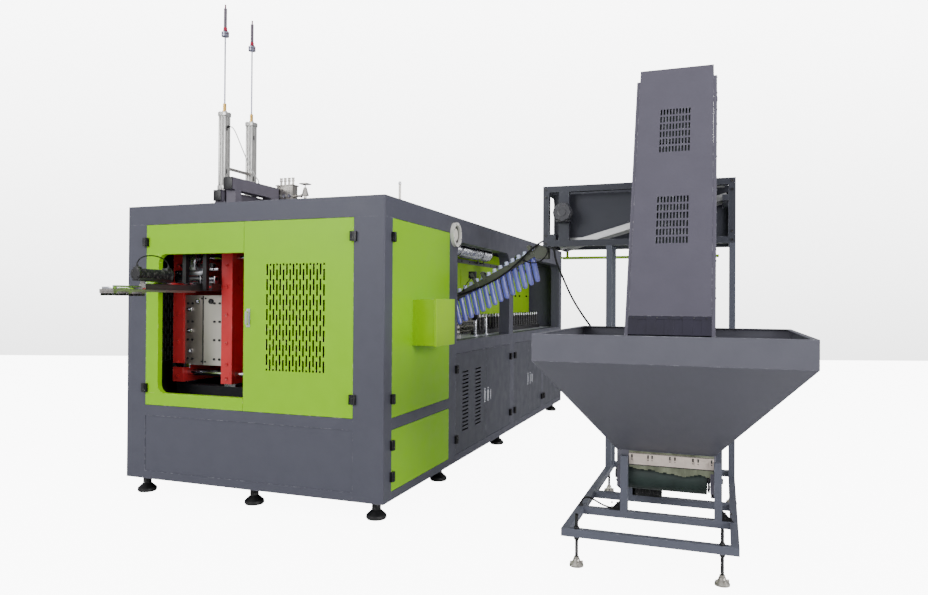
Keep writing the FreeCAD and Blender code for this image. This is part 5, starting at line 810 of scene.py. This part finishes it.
# The foil duct: a spirally ribbed aluminium tube held by two straps. The ribs are pressed into
# the foil as it is wound.
DUCT_X, DUCT_Z = 0.81, 1.8
CREST, ROOT, HALF_RIB = 0.0632, 0.0595, 0.0035
STRAPS = (1.64, 2.2)
foil = finish_material("duct_foil", linear(196, 197, 201), 0.24, 1.0, variation=0.14, grain=30.0,
                       peel=400.0, bump=0.35, shine=0.5, spots=[
    ((0.99, 0.9, None), (None, 1.25, None), linear(222, 220, 212), 0.35, 0.02)])
dress(foil, "air_ducts")
ribs = bmesh.new()
for y in row(1.346, 0.01425, 78):
    if all(abs(y - strap) >= 0.026 for strap in STRAPS):
        stepped(ribs, (DUCT_X, y, DUCT_Z), REAR, [
            (-HALF_RIB, 0, ROOT, CREST), (0, HALF_RIB, CREST, ROOT)], segments=32)
closed_ends = [face for face in ribs.faces if len(face.verts) > 4]
bmesh.ops.delete(ribs, geom=closed_ends, context="FACES")
bmesh.ops.remove_doubles(ribs, verts=ribs.verts, dist=0.00001)
rims = [edge for edge in ribs.edges if edge.is_boundary]
turned_in = bmesh.ops.extrude_edge_only(ribs, edges=rims)["geom"]
bmesh.ops.scale(ribs, vec=(0.985, 1.0, 0.985), space=Matrix.Translation((-DUCT_X, 0.0, -DUCT_Z)),
                verts=[item for item in turned_in if isinstance(item, bmesh.types.BMVert)])
fitted("duct_ribs", ribs, foil, sharp=60.0)

# The duct's flange on the casing's side: a white moulding held by eight zinc screws. Its dark
# mouth is a black disc, painted shade for the inside of the duct, with a round cream damper
# plate hung on a small boss in front of it.
FLANGE = (0, 1.095, 1.866)
flange_screws = bmesh.new()
screw_ring(flange_screws, (1.026, *FLANGE[1:]), RIGHT, 0.082, 8, 0.0045, 0.0025)
fitted("duct_flange_screws", flange_screws, zinc)
# A black disc across the duct's mouth: painted shade for the inside of the duct.
mouth = bmesh.new()
stepped(mouth, FLANGE, RIGHT, [(1.0045, 1.0075, 0.0712)], segments=48)
fitted("duct_mouth_shade_disc", mouth)
damper = bmesh.new()
stepped(damper, FLANGE, RIGHT, [(1.0075, 1.0125, 0.046)], 0.002, 48, 2)
stepped(damper, FLANGE, RIGHT, [(1.0125, 1.0155, 0.012)], 0.001, 24)
damper_cream = finish_material("damper_cream_plastic", linear(226, 222, 210), 0.35,
                               variation=0.04, shine=0.3)
fitted("duct_damper_plate", damper, damper_cream)

# The blower: a cast round case on a strap, with cooling rings and a dark motor cap.
# It is painted black, and the strap is bolted to the roof.
blower_black = finish_material("blower_black_paint", linear(44, 43, 45), 0.45, variation=0.15,
                               wear=linear(120, 118, 114), shine=0.3)
dress(blower_black, "blower")
blower_rings = bmesh.new()
stepped(blower_rings, (DUCT_X, 0, DUCT_Z), REAR, [
    (y, y + 0.008, 0.0905) for y in row(1.215, 0.02, 6)], 0.0015, 40)
stepped(blower_rings, (DUCT_X, 1.2, DUCT_Z), FRONT, [(0, 0.035, 0.06, 0.052)], 0.004, 32, 2)
fitted("blower_rings", blower_rings, blower_black)

# The preform rail: two olive painted bars with arched ties, bolted to the sorter and to two
# columns, with a black sensor on a bracket near its lower end.
dress(finish_material("rail_olive_paint", (0.075, 0.08, 0.062), 0.4, variation=0.06,
                      wear=linear(150, 152, 140), shine=0.25), "feed_rail")
slope = math.radians(28.0)
rail_turn = Matrix(((-math.cos(slope), 0.0, -math.sin(slope)), (0.0, -1.0, 0.0),
                    (-math.sin(slope), 0.0, math.cos(slope))))
rail_seat = Matrix.Translation((1.64, 1.3, 1.782)) @ rail_turn.to_4x4()
rail_screws = bmesh.new()
for run in (0.03, 0.11, 0.3, 0.53, 0.75, 0.98, 1.02):
    for side, outward in ((0.031, FRONT), (-0.031, REAR)):
        screw(rail_screws, rail_seat @ Vector((run, side, -0.012)), outward, 0.0055, 0.004, 12)
block(rail_screws, (1.052, 1.268, 1.536), (1.11, 1.302, 1.592), 0.004)
fitted("rail_screws_and_sensor", rail_screws)

# The preforms: injection moulded blanks in clear blue plastic, each turned from one outline with
# its neck ring and thread. They hang by the ring between the bars and lean along the slope.
RAIL_GAP, NECK_RING, SEAT_GAP = 0.023, 0.027, 0.0003


def turned(outline, steps):
    """A mesh turned round the upright axis from one outline of (radius, height) corners."""
    metal = bmesh.new()
    corners = [metal.verts.new((radius, 0.0, height)) for radius, height in outline]
    edges = [metal.edges.new(pair) for pair in zip(corners, corners[1:])]
    bmesh.ops.spin(metal, geom=corners + edges, cent=(0, 0, 0), axis=UP, angle=math.tau,
                   steps=steps, use_merge=True, use_duplicate=False)
    bmesh.ops.remove_doubles(metal, verts=metal.verts, dist=0.000002)
    shape = bpy.data.meshes.new("turned_blank")
    metal.to_mesh(shape)
    metal.free()
    return shape


preform_blue = finish_material("preform_blue_plastic", (0.22, 0.23, 0.82), 0.07, variation=0.16,
                               grain=22.0, peel=1500.0, bump=0.02, stretch=(1.0, 1.0, 0.12),
                               coat=0.8, shine=0.6)
for socket, value in (("Transmission Weight", 0.45), ("IOR", 1.5), ("Subsurface Weight", 0.2),
                      ("Subsurface Radius", (0.01, 0.012, 0.03))):
    preform_blue.node_tree.nodes["Principled BSDF"].inputs[socket].default_value = value
# The necks are the same plastic as the bodies, painted a paler blue: a painted highlight on the
# necks above the rail.
preform_neck_highlight = finish_material("preform_neck_painted_highlight", (0.62, 0.66, 0.95), 0.14, variation=0.1,
                                grain=30.0, coat=0.6, shine=0.6)
body_outline = [
    (0.0, -0.237), (0.009, -0.2362), (0.015, -0.232), (0.0188, -0.2245), (0.0202, -0.214),
    (0.0209, -0.19), (0.021, -0.06), (0.0207, -0.034), (0.0178, -0.014), (0.0142, -0.003),
    (0.0, -0.0025)]
neck_outline = [
    (0.0, -0.003), (0.014, -0.0028), (0.0265, -0.0015), (0.0268, 0.0015), (0.0265, 0.0038),
    (0.0142, 0.0045), (0.0142, 0.008), (0.0156, 0.0095), (0.0156, 0.0115), (0.0142, 0.0135),
    (0.0142, 0.0165), (0.0156, 0.018), (0.0156, 0.02), (0.0142, 0.022), (0.0142, 0.0275),
    (0.0115, 0.028), (0.011, 0.02), (0.0, 0.018)]
lean = Matrix.Rotation(math.radians(-13.0), 4, "Y")
lift = math.sqrt(NECK_RING ** 2 - RAIL_GAP ** 2) * math.sin(math.radians(15.0)) + SEAT_GAP
for name, outline, plastic in (("preform_bodies", body_outline, preform_blue),
                               ("preform_necks", neck_outline, preform_neck_highlight)):
    blanks = bmesh.new()
    blank = turned(outline, 28)
    for run in row(0.098, 0.0548, 14):
        hung = blank.copy()
        hung.transform(Matrix.Translation(rail_seat @ Vector((run, 0.0, lift))) @ lean)
        blanks.from_mesh(hung)
        bpy.data.meshes.remove(hung)
    bpy.data.meshes.remove(blank)
    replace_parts(fitted(name, blanks, plastic, sharp=50.0), "preforms")

# The sorter: a welded frame of square tube in dark paint, a slanting roller channel between two
# plain steel sides, a guard sheet on the nearer one, and a geared motor on the front. Two steel
# rollers turn the preforms upright, and a rubber edge lies on the rear tube.
plain_side = (linear(190, 190, 190), 0.34, 0.6)
sorter_paint = grey_coat("sorter_dark_paint", (0.044, 0.046, 0.058), spots=[
    ((1.779, 1.2015, None), (2.953, 1.2085, None), *plain_side),
    ((1.779, 1.3915, None), (2.953, 1.3985, None), *plain_side)])
dress(sorter_paint, "sorter_frame")
dress(finish_material("roller_ground_steel", linear(178, 178, 180), 0.24, 1.0, variation=0.1,
                      grain=5.0, peel=400.0, bump=0.05, stretch=(0.5, 8.0, 8.0), shine=0.5),
      "sorter_roller_1", "sorter_roller_2")
motor_black = finish_material("motor_dark_enamel", linear(46, 46, 52), 0.38, shine=0.35,
                              wear=linear(140, 138, 140))
MOTOR_X, MOTOR_Z, MOTOR_FACE = 1.844, 2.0, 1.03
motor = bmesh.new()
stepped(motor, (MOTOR_X, 1.1, MOTOR_Z), FRONT, [(0, 0.058, 0.062)], 0.002, 40)
for y in row(1.093, -0.011, 5):
    stepped(motor, (MOTOR_X, y, MOTOR_Z), FRONT, [(0, 0.005, 0.068)], 0.001, 40)
stepped(motor, (MOTOR_X, 1.044, MOTOR_Z), FRONT, [(0, 0.014, 0.07, 0.066)], 0.002, 8)
dished(motor, (MOTOR_X, MOTOR_FACE, MOTOR_Z), FRONT, 0.03, 0.006, 0.006, 0.003, 28)
screw_ring(motor, (MOTOR_X, MOTOR_FACE, MOTOR_Z), FRONT, 0.05, 8, 0.005, 0.004)
block(motor, (1.814, 1.05, 2.052), (1.874, 1.095, 2.07), 0.003)
block(motor, (1.79, 1.062, 1.934), (1.898, 1.1, 1.95), 0.003)
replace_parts(fitted("sorter_gear_motor", motor, motor_black), "sorter_motor")
side_sheet = bmesh.new()
SHEET_FACE, SHEET_LOW, SHEET_HIGH = 1.1987, 1.83, 2.1495
trough_fall = math.tan(math.radians(16.0))
corners = ((1.744, SHEET_HIGH), (2.9645, SHEET_HIGH), (2.9645, SHEET_LOW + 1.0045 * trough_fall),
           (1.96, SHEET_LOW), (1.762, SHEET_LOW))
outline = side_sheet.faces.new([side_sheet.verts.new((x, SHEET_FACE, z)) for x, z in corners])
grown = bmesh.ops.extrude_face_region(side_sheet, geom=[outline])["geom"]
bmesh.ops.translate(side_sheet, vec=(0.0, 0.003, 0.0),
                    verts=[item for item in grown if isinstance(item, bmesh.types.BMVert)])
bmesh.ops.recalc_face_normals(side_sheet, faces=side_sheet.faces)
for x in row(1.99, 0.15, 7):
    screw(side_sheet, (x, SHEET_FACE, 1.842 + (x - 1.96) * trough_fall), FRONT, 0.004, 0.0025, 8)
block(side_sheet, (1.7355, 1.4865, 2.1995), (2.9645, 1.4985, 2.2135), 0.002)
fitted("sorter_side_sheet", side_sheet, sorter_paint)
bolts = bmesh.new()
for y, outward in ((1.1, FRONT), (1.5, REAR)):
    screws(bolts, (1.712, 2.988), y, (1.782, 1.84, 2.12, 2.178), outward, 0.008, 0.006, 12)
screws(bolts, row(1.83, 0.18, 7), 1.5, (1.83, 2.13), REAR, 0.005, 0.003)
fitted("sorter_bolts", bolts)

# The catch tray: a pale folded sheet with green edges, hung on four straps behind the frame.
# It lies under the rollers and catches what falls through them.
tray = bmesh.new()
block(tray, (1.76, 1.41, 1.69), (2.9, 1.496, 1.694), 0.001, 1)
tray_paint = finish_material("tray_pale_paint", linear(205, 208, 200), 0.4, variation=0.03,
                             shine=0.3)
fitted("catch_tray", tray, tray_paint)
tray_edges = bmesh.new()
for y in (1.406, 1.496):
    block(tray_edges, (1.756, y, 1.688), (2.904, y + 0.004, 1.704), 0.001, 1)
for x in (1.78, 2.14, 2.5, 2.86):
    block(tray_edges, (x, 1.496, 1.69), (x + 0.02, 1.5, 1.79), 0.001, 1)
fitted("catch_tray_edges", tray_edges, box_green)

# The hopper: folded and welded sheet in grey paint, with a flat band, a turned-in lip and
# welded corners down the funnel to the boot.
hopper_paint = grey_coat("hopper_grey_paint", (0.088, 0.088, 0.106), 0.4)
dress(hopper_paint, "hopper_bin")
seams = bmesh.new()
corners = [((2.071, -0.666), (2.374, 0.094)), ((3.311, -0.666), (2.89, 0.094)),
           ((3.311, 0.686), (2.89, 0.406)), ((2.071, 0.686), (2.374, 0.406))]
for (top, mouth), (next_top, _) in zip(corners, corners[1:] + corners[:1]):
    rod(seams, (*top, 1.07), (*mouth, 0.525), 0.003, segments=10)
    rod(seams, (*top, 1.0705), (*next_top, 1.0705), 0.0024, segments=8)
fitted("hopper_seams", seams, hopper_paint)

# The boot: a cream rubbing strip with plates and black clips above the belt, and a worn rubber
# fringe under it that keeps preforms from falling out beside the drum.
BOOT_LEFT, BOOT_RIGHT, BOOT_FACE = 2.437, 2.888, 0.0868
boot = bmesh.new()
block(boot, (BOOT_LEFT, BOOT_FACE, 0.448), (BOOT_RIGHT, 0.09, 0.516), 0.001, 1)
for x in (2.462, 2.545, 2.668, 2.79):
    block(boot, (x, 0.0848, 0.462), (x + 0.07, BOOT_FACE, 0.494), 0.001, 1)
strip_cream = finish_material("boot_strip_cream", linear(186, 174, 164), 0.5, variation=0.14,
                              grain=18.0, bump=0.1, shine=0.2)
fitted("boot_strip", boot, strip_cream)
boot_clips = bmesh.new()
for x in (2.45, 2.538, 2.56, 2.655, 2.682, 2.776, 2.803, 2.872):
    block(boot_clips, (x, 0.0838, 0.484), (x + 0.008, BOOT_FACE, 0.504), 0.001, 1)
    screw(boot_clips, (x + 0.004, BOOT_FACE, 0.476), FRONT, 0.0035, 0.003, 8)
block(boot_clips, (BOOT_LEFT, 0.0855, 0.444), (BOOT_RIGHT, 0.09, 0.449), 0.001, 1)
block(boot_clips, (BOOT_LEFT, 0.0862, 0.508), (BOOT_RIGHT, 0.09, 0.512), 0.001, 1)
fitted("boot_clips", boot_clips)
fringe = bmesh.new()
worn_by = (14, 20, 24, 22, 26, 20, 24, 31, 35, 30, 37, 34, 40, 44, 47, 42, 38, 32, 28, 33, 39, 44)
for number, millimetres in enumerate(worn_by):
    x, y = 2.439 + number * 0.0203, 0.0872 + 0.0008 * (number % 2)
    block(fringe, (x, y, 0.446 - millimetres / 1000), (x + 0.0215, y + 0.0012, 0.446), 0.0004, 1)
block(fringe, (BOOT_LEFT, 0.0862, 0.512), (BOOT_RIGHT, 0.09, 0.523), 0.001, 1)
olive_rubber = finish_material("fringe_olive_rubber", linear(96, 100, 84), 0.7, variation=0.45,
                               grain=16.0, bump=0.25, stretch=(1.0, 1.0, 0.4), shine=0.1)
fitted("boot_fringe", fringe, olive_rubber)

# The tower: two folded side plates and a slotted cover in grey-violet paint, leaning back 20
# degrees. Round-headed screws hold the cover, and a heavy rubber curtain closes its foot.
TOWER_HALF, TOWER_DEPTH, CURTAIN_FACE = 0.258, 0.085, -0.1142
tower_paint = grey_coat("tower_violet_grey_paint", (0.077, 0.072, 0.094), 0.4)
dress(tower_paint, "tower_cover", "tower_plates")
tower_seat = Matrix.Translation((2.632, 0.187, 0.37)) @ Matrix.Rotation(math.radians(-20.0), 4, "X")


def tower_screw(metal, x, depth, rise, outward, radius=0.0055):
    turned_out = (tower_seat.to_3x3() @ Vector(outward)).normalized()
    screw(metal, tower_seat @ Vector((x, depth, rise)), turned_out, radius, 0.003)


cover_screws = bmesh.new()
for side in (-1, 1):
    for rise, depth in product(row(0.86, 0.25, 8), (-TOWER_DEPTH, TOWER_DEPTH)):
        tower_screw(cover_screws, side * TOWER_HALF, depth, rise, (side, 0, 0))
    for rise in row(0.02, 0.2, 4):
        tower_screw(cover_screws, side * TOWER_HALF, TOWER_DEPTH, rise, (side, 0, 0))
fitted("tower_screws", cover_screws, zinc)
tower_trim = bmesh.new()
for side in (-1, 1):
    for inner, y, low, high in ((0.2385, -0.1125, -0.03, 0.795), (0.244, 0.11, 0.0, 2.4)):
        x_low, x_high = sorted((side * inner, side * 0.2575))
        block(tower_trim, (x_low, y, low), (x_high, y + 0.0025, high), 0.0008, 1, tower_seat)
fitted("tower_trims", tower_trim, tower_paint)
curtain = bmesh.new()
for number, x in enumerate(row(-0.238, 0.0525, 9)):
    y = -0.1135 + 0.0014 * (number % 2)
    block(curtain, (x, y, 0.8025), (x + 0.0555, y + 0.0018, 0.917), 0.0006, 1, tower_seat)
block(curtain, (-0.238, CURTAIN_FACE, 0.9), (0.238, -0.1128, 0.9195), 0.0004, 1, tower_seat)
curtain_rubber = finish_material("curtain_violet_black_rubber", (0.016, 0.014, 0.026), 0.55,
                                 variation=0.2, grain=12.0, peel=600.0, bump=0.15,
                                 stretch=(1.0, 1.0, 0.3), shine=0.25)
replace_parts(fitted("tower_curtain_strips", curtain, curtain_rubber), "tower_curtain")
curtain_screws = bmesh.new()
for x in row(-0.21, 0.07, 7):
    tower_screw(curtain_screws, x, CURTAIN_FACE, 0.91, FRONT, 0.0035)
fitted("curtain_screws", curtain_screws)

# The belt: dark green rubber with moulded cleats, on an upper and a lower steel drum.
# The lower drum turns in bearings bolted to the side plates, and both have bolted end plates.
dress(finish_material("belt_dark_green_rubber", (0.012, 0.022, 0.019), 0.5, variation=0.25,
                      grain=10.0, peel=500.0, bump=0.2, shine=0.35), "elevator_belt")
dress(finish_material("drum_steel", linear(120, 120, 122), 0.32, 0.9, variation=0.15, grain=6.0,
                      shine=0.5, spots=[((2.89, None, None), OPEN, linear(30, 30, 32), 0.4, 0.3)]),
      "head_drum", "tail_drum")
TAIL_Y, TAIL_Z, HEAD_Y, HEAD_Z = 0.187, 0.37, 1.042, 2.719
bearings = bmesh.new()
for x, outward in ((2.374, -1), (2.89, 1)):
    face = x + outward * 0.012
    x_low, x_high = sorted((x, face))
    block(bearings, (x_low, TAIL_Y - 0.045, TAIL_Z - 0.045),
          (x_high, TAIL_Y + 0.045, TAIL_Z + 0.045), 0.004)
    stepped(bearings, (face, TAIL_Y, TAIL_Z), (outward, 0, 0), [(0, 0.012, 0.028)], 0.002, 32)
    screws(bearings, face, (TAIL_Y - 0.033, TAIL_Y + 0.033), (TAIL_Z - 0.033, TAIL_Z + 0.033),
           (outward, 0, 0), 0.006, 0.005)
fitted("drum_bearings", bearings, motor_black)
for pulley, y, z in (("tail_pulley", TAIL_Y, TAIL_Z), ("head_pulley", HEAD_Y, HEAD_Z)):
    end_plates = bmesh.new()
    for x in (2.3975, 2.8555):
        stepped(end_plates, (x, y, z), RIGHT, [(0, 0.011, 0.068)], 0.002, 40)
        for face, outward in ((x, LEFT), (x + 0.011, RIGHT)):
            screw_ring(end_plates, (face, y, z), outward, 0.05, 6, 0.005, 0.0015, 0.0, 8)
    fitted(f"{pulley}_end_plates", end_plates, motor_black, pulley)

# The feeder's base: welded square tube in grey paint, with small black brackets beside the
# hopper's legs and a dark switch box on the rear cross tube.
base_paint = grey_coat("feeder_base_grey_paint", (0.083, 0.088, 0.112), 0.4, [
    ((2.333, 0.0495, 0.1902), (2.3942, 0.0565, 0.2505), BLACK, 0.45, 0.0),
    ((2.9302, 0.0495, 0.1902), (2.991, 0.0565, 0.2505), BLACK, 0.45, 0.0),
    ((2.4345, 0.4085, 0.1905), (2.591, 0.471, 0.246), linear(26, 28, 26), 0.45, 0.0)])
dress(base_paint, "base_frame")
switch_box = bmesh.new()
block(switch_box, (2.44, 0.4065, 0.196), (2.584, 0.41, 0.24), 0.0015, 1)
for x in (2.455, 2.5, 2.545):
    block(switch_box, (x, 0.402, 0.208), (x + 0.026, 0.407, 0.228), 0.002)
screws(switch_box, (2.446, 2.578), 0.4065, (0.202, 0.234), FRONT, 0.0035, 0.002, 8)
screws(switch_box, (2.3495, 2.3785, 2.9455, 2.9745), 0.05, (0.208, 0.234), FRONT, 0.0055, 0.004)
fitted("switch_box_face", switch_box)

# The casing's levelling feet: black bell-shaped castings on threaded studs, with a lock nut and
# a washer under the sill. The bell is cast iron with a black rubber coat.
dress(finish_material("levelling_foot_black", linear(15, 15, 16), 0.42, variation=0.2, grain=12.0,
                      peel=500.0, bump=0.15, wear=linear(70, 68, 66), shine=0.4), "levelling_feet")


def thread(metal, x, y, low, count, pitch, flank, root, crest, segments):
    """Rings of a screw thread: each climbs from the root to the crest and falls back."""
    for z in row(low, pitch, count):
        stepped(metal, (x, y, z), UP, [(0, flank, root, crest), (flank, flank * 2, crest, root)],
                segments=segments)


foot_nuts = bmesh.new()
for x, y in [(0.0, 0.0)] + list(product((-0.905, 0.905), (0.0, 1.03, 2.52, 4.8))):
    stepped(foot_nuts, (x, y, 0), UP, [(0.1125, 0.116, 0.034)], 0.0008, 28)
    nut(foot_nuts, (x, y, 0.099), UP, 0.05, 0.0135)
    thread(foot_nuts, x, y, 0.06, 8, 0.0045, 0.0022, 0.028, 0.0292, 20)
fitted("levelling_foot_nuts", foot_nuts)

# The feeder's feet: chunky zinc-coloured castings with a ball seat, on long black studs that are
# cut with a thread and locked by nuts above and below the base tube.
shoe_cast = finish_material("feeder_shoe_casting", linear(160, 156, 148), 0.38, 0.85,
                            variation=0.25, grain=40.0, peel=220.0, bump=0.45, shine=0.5,
                            spots=[((None, None, 0.0485), OPEN, BLACK, 0.4, 0.85)])
dress(shoe_cast, "base_feet")
studs, shoes = bmesh.new(), bmesh.new()
for x, y in ((2.228, -0.35), (2.932, -0.35), (2.17, 1.16), (2.99, 1.16)):
    nut(studs, (x, y, 0.19), UP, 0.026, 0.012)
    nut(studs, (x, y, 0.138), UP, 0.026, 0.012)
    for low, count in ((0.205, 13), (0.052, 19)):
        thread(studs, x, y, low, count, 0.0042, 0.0021, 0.0078, 0.009, 14)
    for step in range(4):
        turn = math.tau * step / 4 + 0.4
        seat = Matrix.Translation((x, y, 0.0)) @ Matrix.Rotation(turn, 4, "Z")
        block(shoes, (0.012, -0.004, 0.006), (0.034, 0.004, 0.026), 0.002, 2, seat)
    stepped(shoes, (x, y, 0), UP, [(0.026, 0.04, 0.02, 0.016)], 0.002, 28)
fitted("feeder_studs", studs)
fitted("feeder_shoe_ribs", shoes, shoe_cast)

# The machine's cables and hoses: round rubber or plastic leads on their own sagging routes.
# Each leaves its plug or socket straight, sags under its weight and goes back into the machine.
cable_rubber = finish_material("cable_rubber", linear(20, 20, 22), 0.45, grain=60.0,
                               peel=1500.0, bump=0.1)
hose_plastic = finish_material("white_hose_plastic", linear(215, 215, 212), 0.25, grain=40.0,
                               coat=0.4)
gland_seats = []


def lead(name, diameter, points, body="frame"):
    route = bpy.data.curves.new(name + "_lead", "CURVE")
    route.dimensions = "3D"
    route.resolution_u = 10
    route.bevel_depth = diameter / 2
    route.bevel_resolution = 4
    route.use_fill_caps = True
    line = route.splines.new("NURBS")
    line.points.add(len(points) - 1)
    for point, place in zip(line.points, points):
        point.co = (*place, 1.0)
    line.order_u = 3
    line.use_endpoint_u = True
    route.materials.append(hose_plastic if name == "air_hose" else cable_rubber)
    piece = shown(name + "_lead", route)
    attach(piece, body)
    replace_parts(piece, name)
    for end, inner in ((0, 1), (-1, -2)):
        gland_seats.append((body, diameter, points[end], points[inner]))


lead("main_cable", 0.014, [
    (1.735, 1.25, 1.827), (1.676, 1.25, 1.827), (1.61, 1.25, 1.79), (1.532, 1.25, 1.728),
    (1.461, 1.25, 1.657), (1.382, 1.25, 1.589), (1.296, 1.25, 1.532), (1.202, 1.25, 1.485),
    (1.11, 1.25, 1.45), (1.045, 1.25, 1.425), (0.995, 1.241, 1.407), (0.963, 1.217, 1.397),
    (0.95, 1.19, 1.393), (0.95, 1.165, 1.393)])
lead("loop_cable", 0.01, [
    (1.5, 1.269, 1.675), (1.5, 1.242, 1.675), (1.518, 1.222, 1.668), (1.556, 1.216, 1.652),
    (1.602, 1.216, 1.648), (1.645, 1.219, 1.662), (1.678, 1.221, 1.69), (1.698, 1.222, 1.726),
    (1.698, 1.222, 1.76)])
lead("sensor_cable", 0.006, [
    (1.092, 1.263, 1.542), (1.092, 1.239, 1.542), (1.08, 1.226, 1.529), (1.058, 1.228, 1.5),
    (1.038, 1.229, 1.472), (1.022, 1.234, 1.45), (1.015, 1.248, 1.44), (1.015, 1.269, 1.44)])
lead("sorter_cable", 0.014, [
    (1.77, 1.122, 1.76), (1.77, 1.122, 1.727), (1.78, 1.11, 1.68), (1.803, 1.085, 1.622),
    (1.835, 1.065, 1.56), (1.868, 1.052, 1.49), (1.905, 1.048, 1.41), (1.95, 1.05, 1.33),
    (1.995, 1.062, 1.258), (2.04, 1.082, 1.192), (2.078, 1.106, 1.132), (2.11, 1.12, 1.106),
    (2.15, 1.12, 1.106)])
lead("base_cable", 0.01, [
    (2.172, 0.072, 0.19), (2.172, 0.072, 0.218), (2.19, 0.071, 0.24), (2.22, 0.069, 0.244),
    (2.256, 0.068, 0.228), (2.298, 0.069, 0.206), (2.345, 0.07, 0.196), (2.3943, 0.07, 0.196)])
lead("air_hose", 0.008, [
    (-0.553, 0.395, 2.651), (-0.528, 0.395, 2.651), (-0.513, 0.404, 2.642), (-0.505, 0.428, 2.608),
    (-0.501, 0.462, 2.552), (-0.497, 0.51, 2.48), (-0.495, 0.56, 2.409), (-0.494, 0.61, 2.354),
    (-0.492, 0.653, 2.319), (-0.49, 0.683, 2.296), (-0.49, 0.69, 2.278), (-0.49, 0.69, 2.26)])
lead("actuator_hose", 0.008, [
    (-0.52, -0.236, 1.56), (-0.52, -0.236, 1.586), (-0.523, -0.254, 1.61), (-0.529, -0.288, 1.628),
    (-0.535, -0.332, 1.637), (-0.538, -0.378, 1.638), (-0.536, -0.424, 1.631),
    (-0.528, -0.47, 1.616), (-0.52, -0.504, 1.588), (-0.52, -0.504, 1.56)], "takeout")

# The cable glands: a hexagon nut and a tapered sleeve of black nylon where each lead leaves or
# enters a housing, as long as its straight run.
GLAND_RINGS = ((0.3, 0.45, 0.86), (0.5, 0.63, 0.76), (0.68, 0.79, 0.67), (0.84, 0.95, 0.59),
               (0.3, 1.0, 0.72, 0.54))
gland_nylon = finish_material("gland_black_nylon", linear(24, 24, 26), 0.5, variation=0.1,
                              grain=30.0, bump=0.08, shine=0.4)
glands = {"frame": bmesh.new(), "takeout": bmesh.new()}
for body, diameter, place, next_place in gland_seats:
    run = Vector(next_place) - Vector(place)
    sleeve = min(0.034, run.length * 0.95)
    nut(glands[body], place, run, diameter * 2.1, sleeve * 0.3)
    rings = [(near, far, *(share * diameter for share in shares))
             for near, far, *shares in GLAND_RINGS]
    stepped(glands[body], place, run.normalized() * sleeve, rings, segments=18)
for body, metal in glands.items():
    fitted(f"{body}_cable_glands", metal, gland_nylon, body)
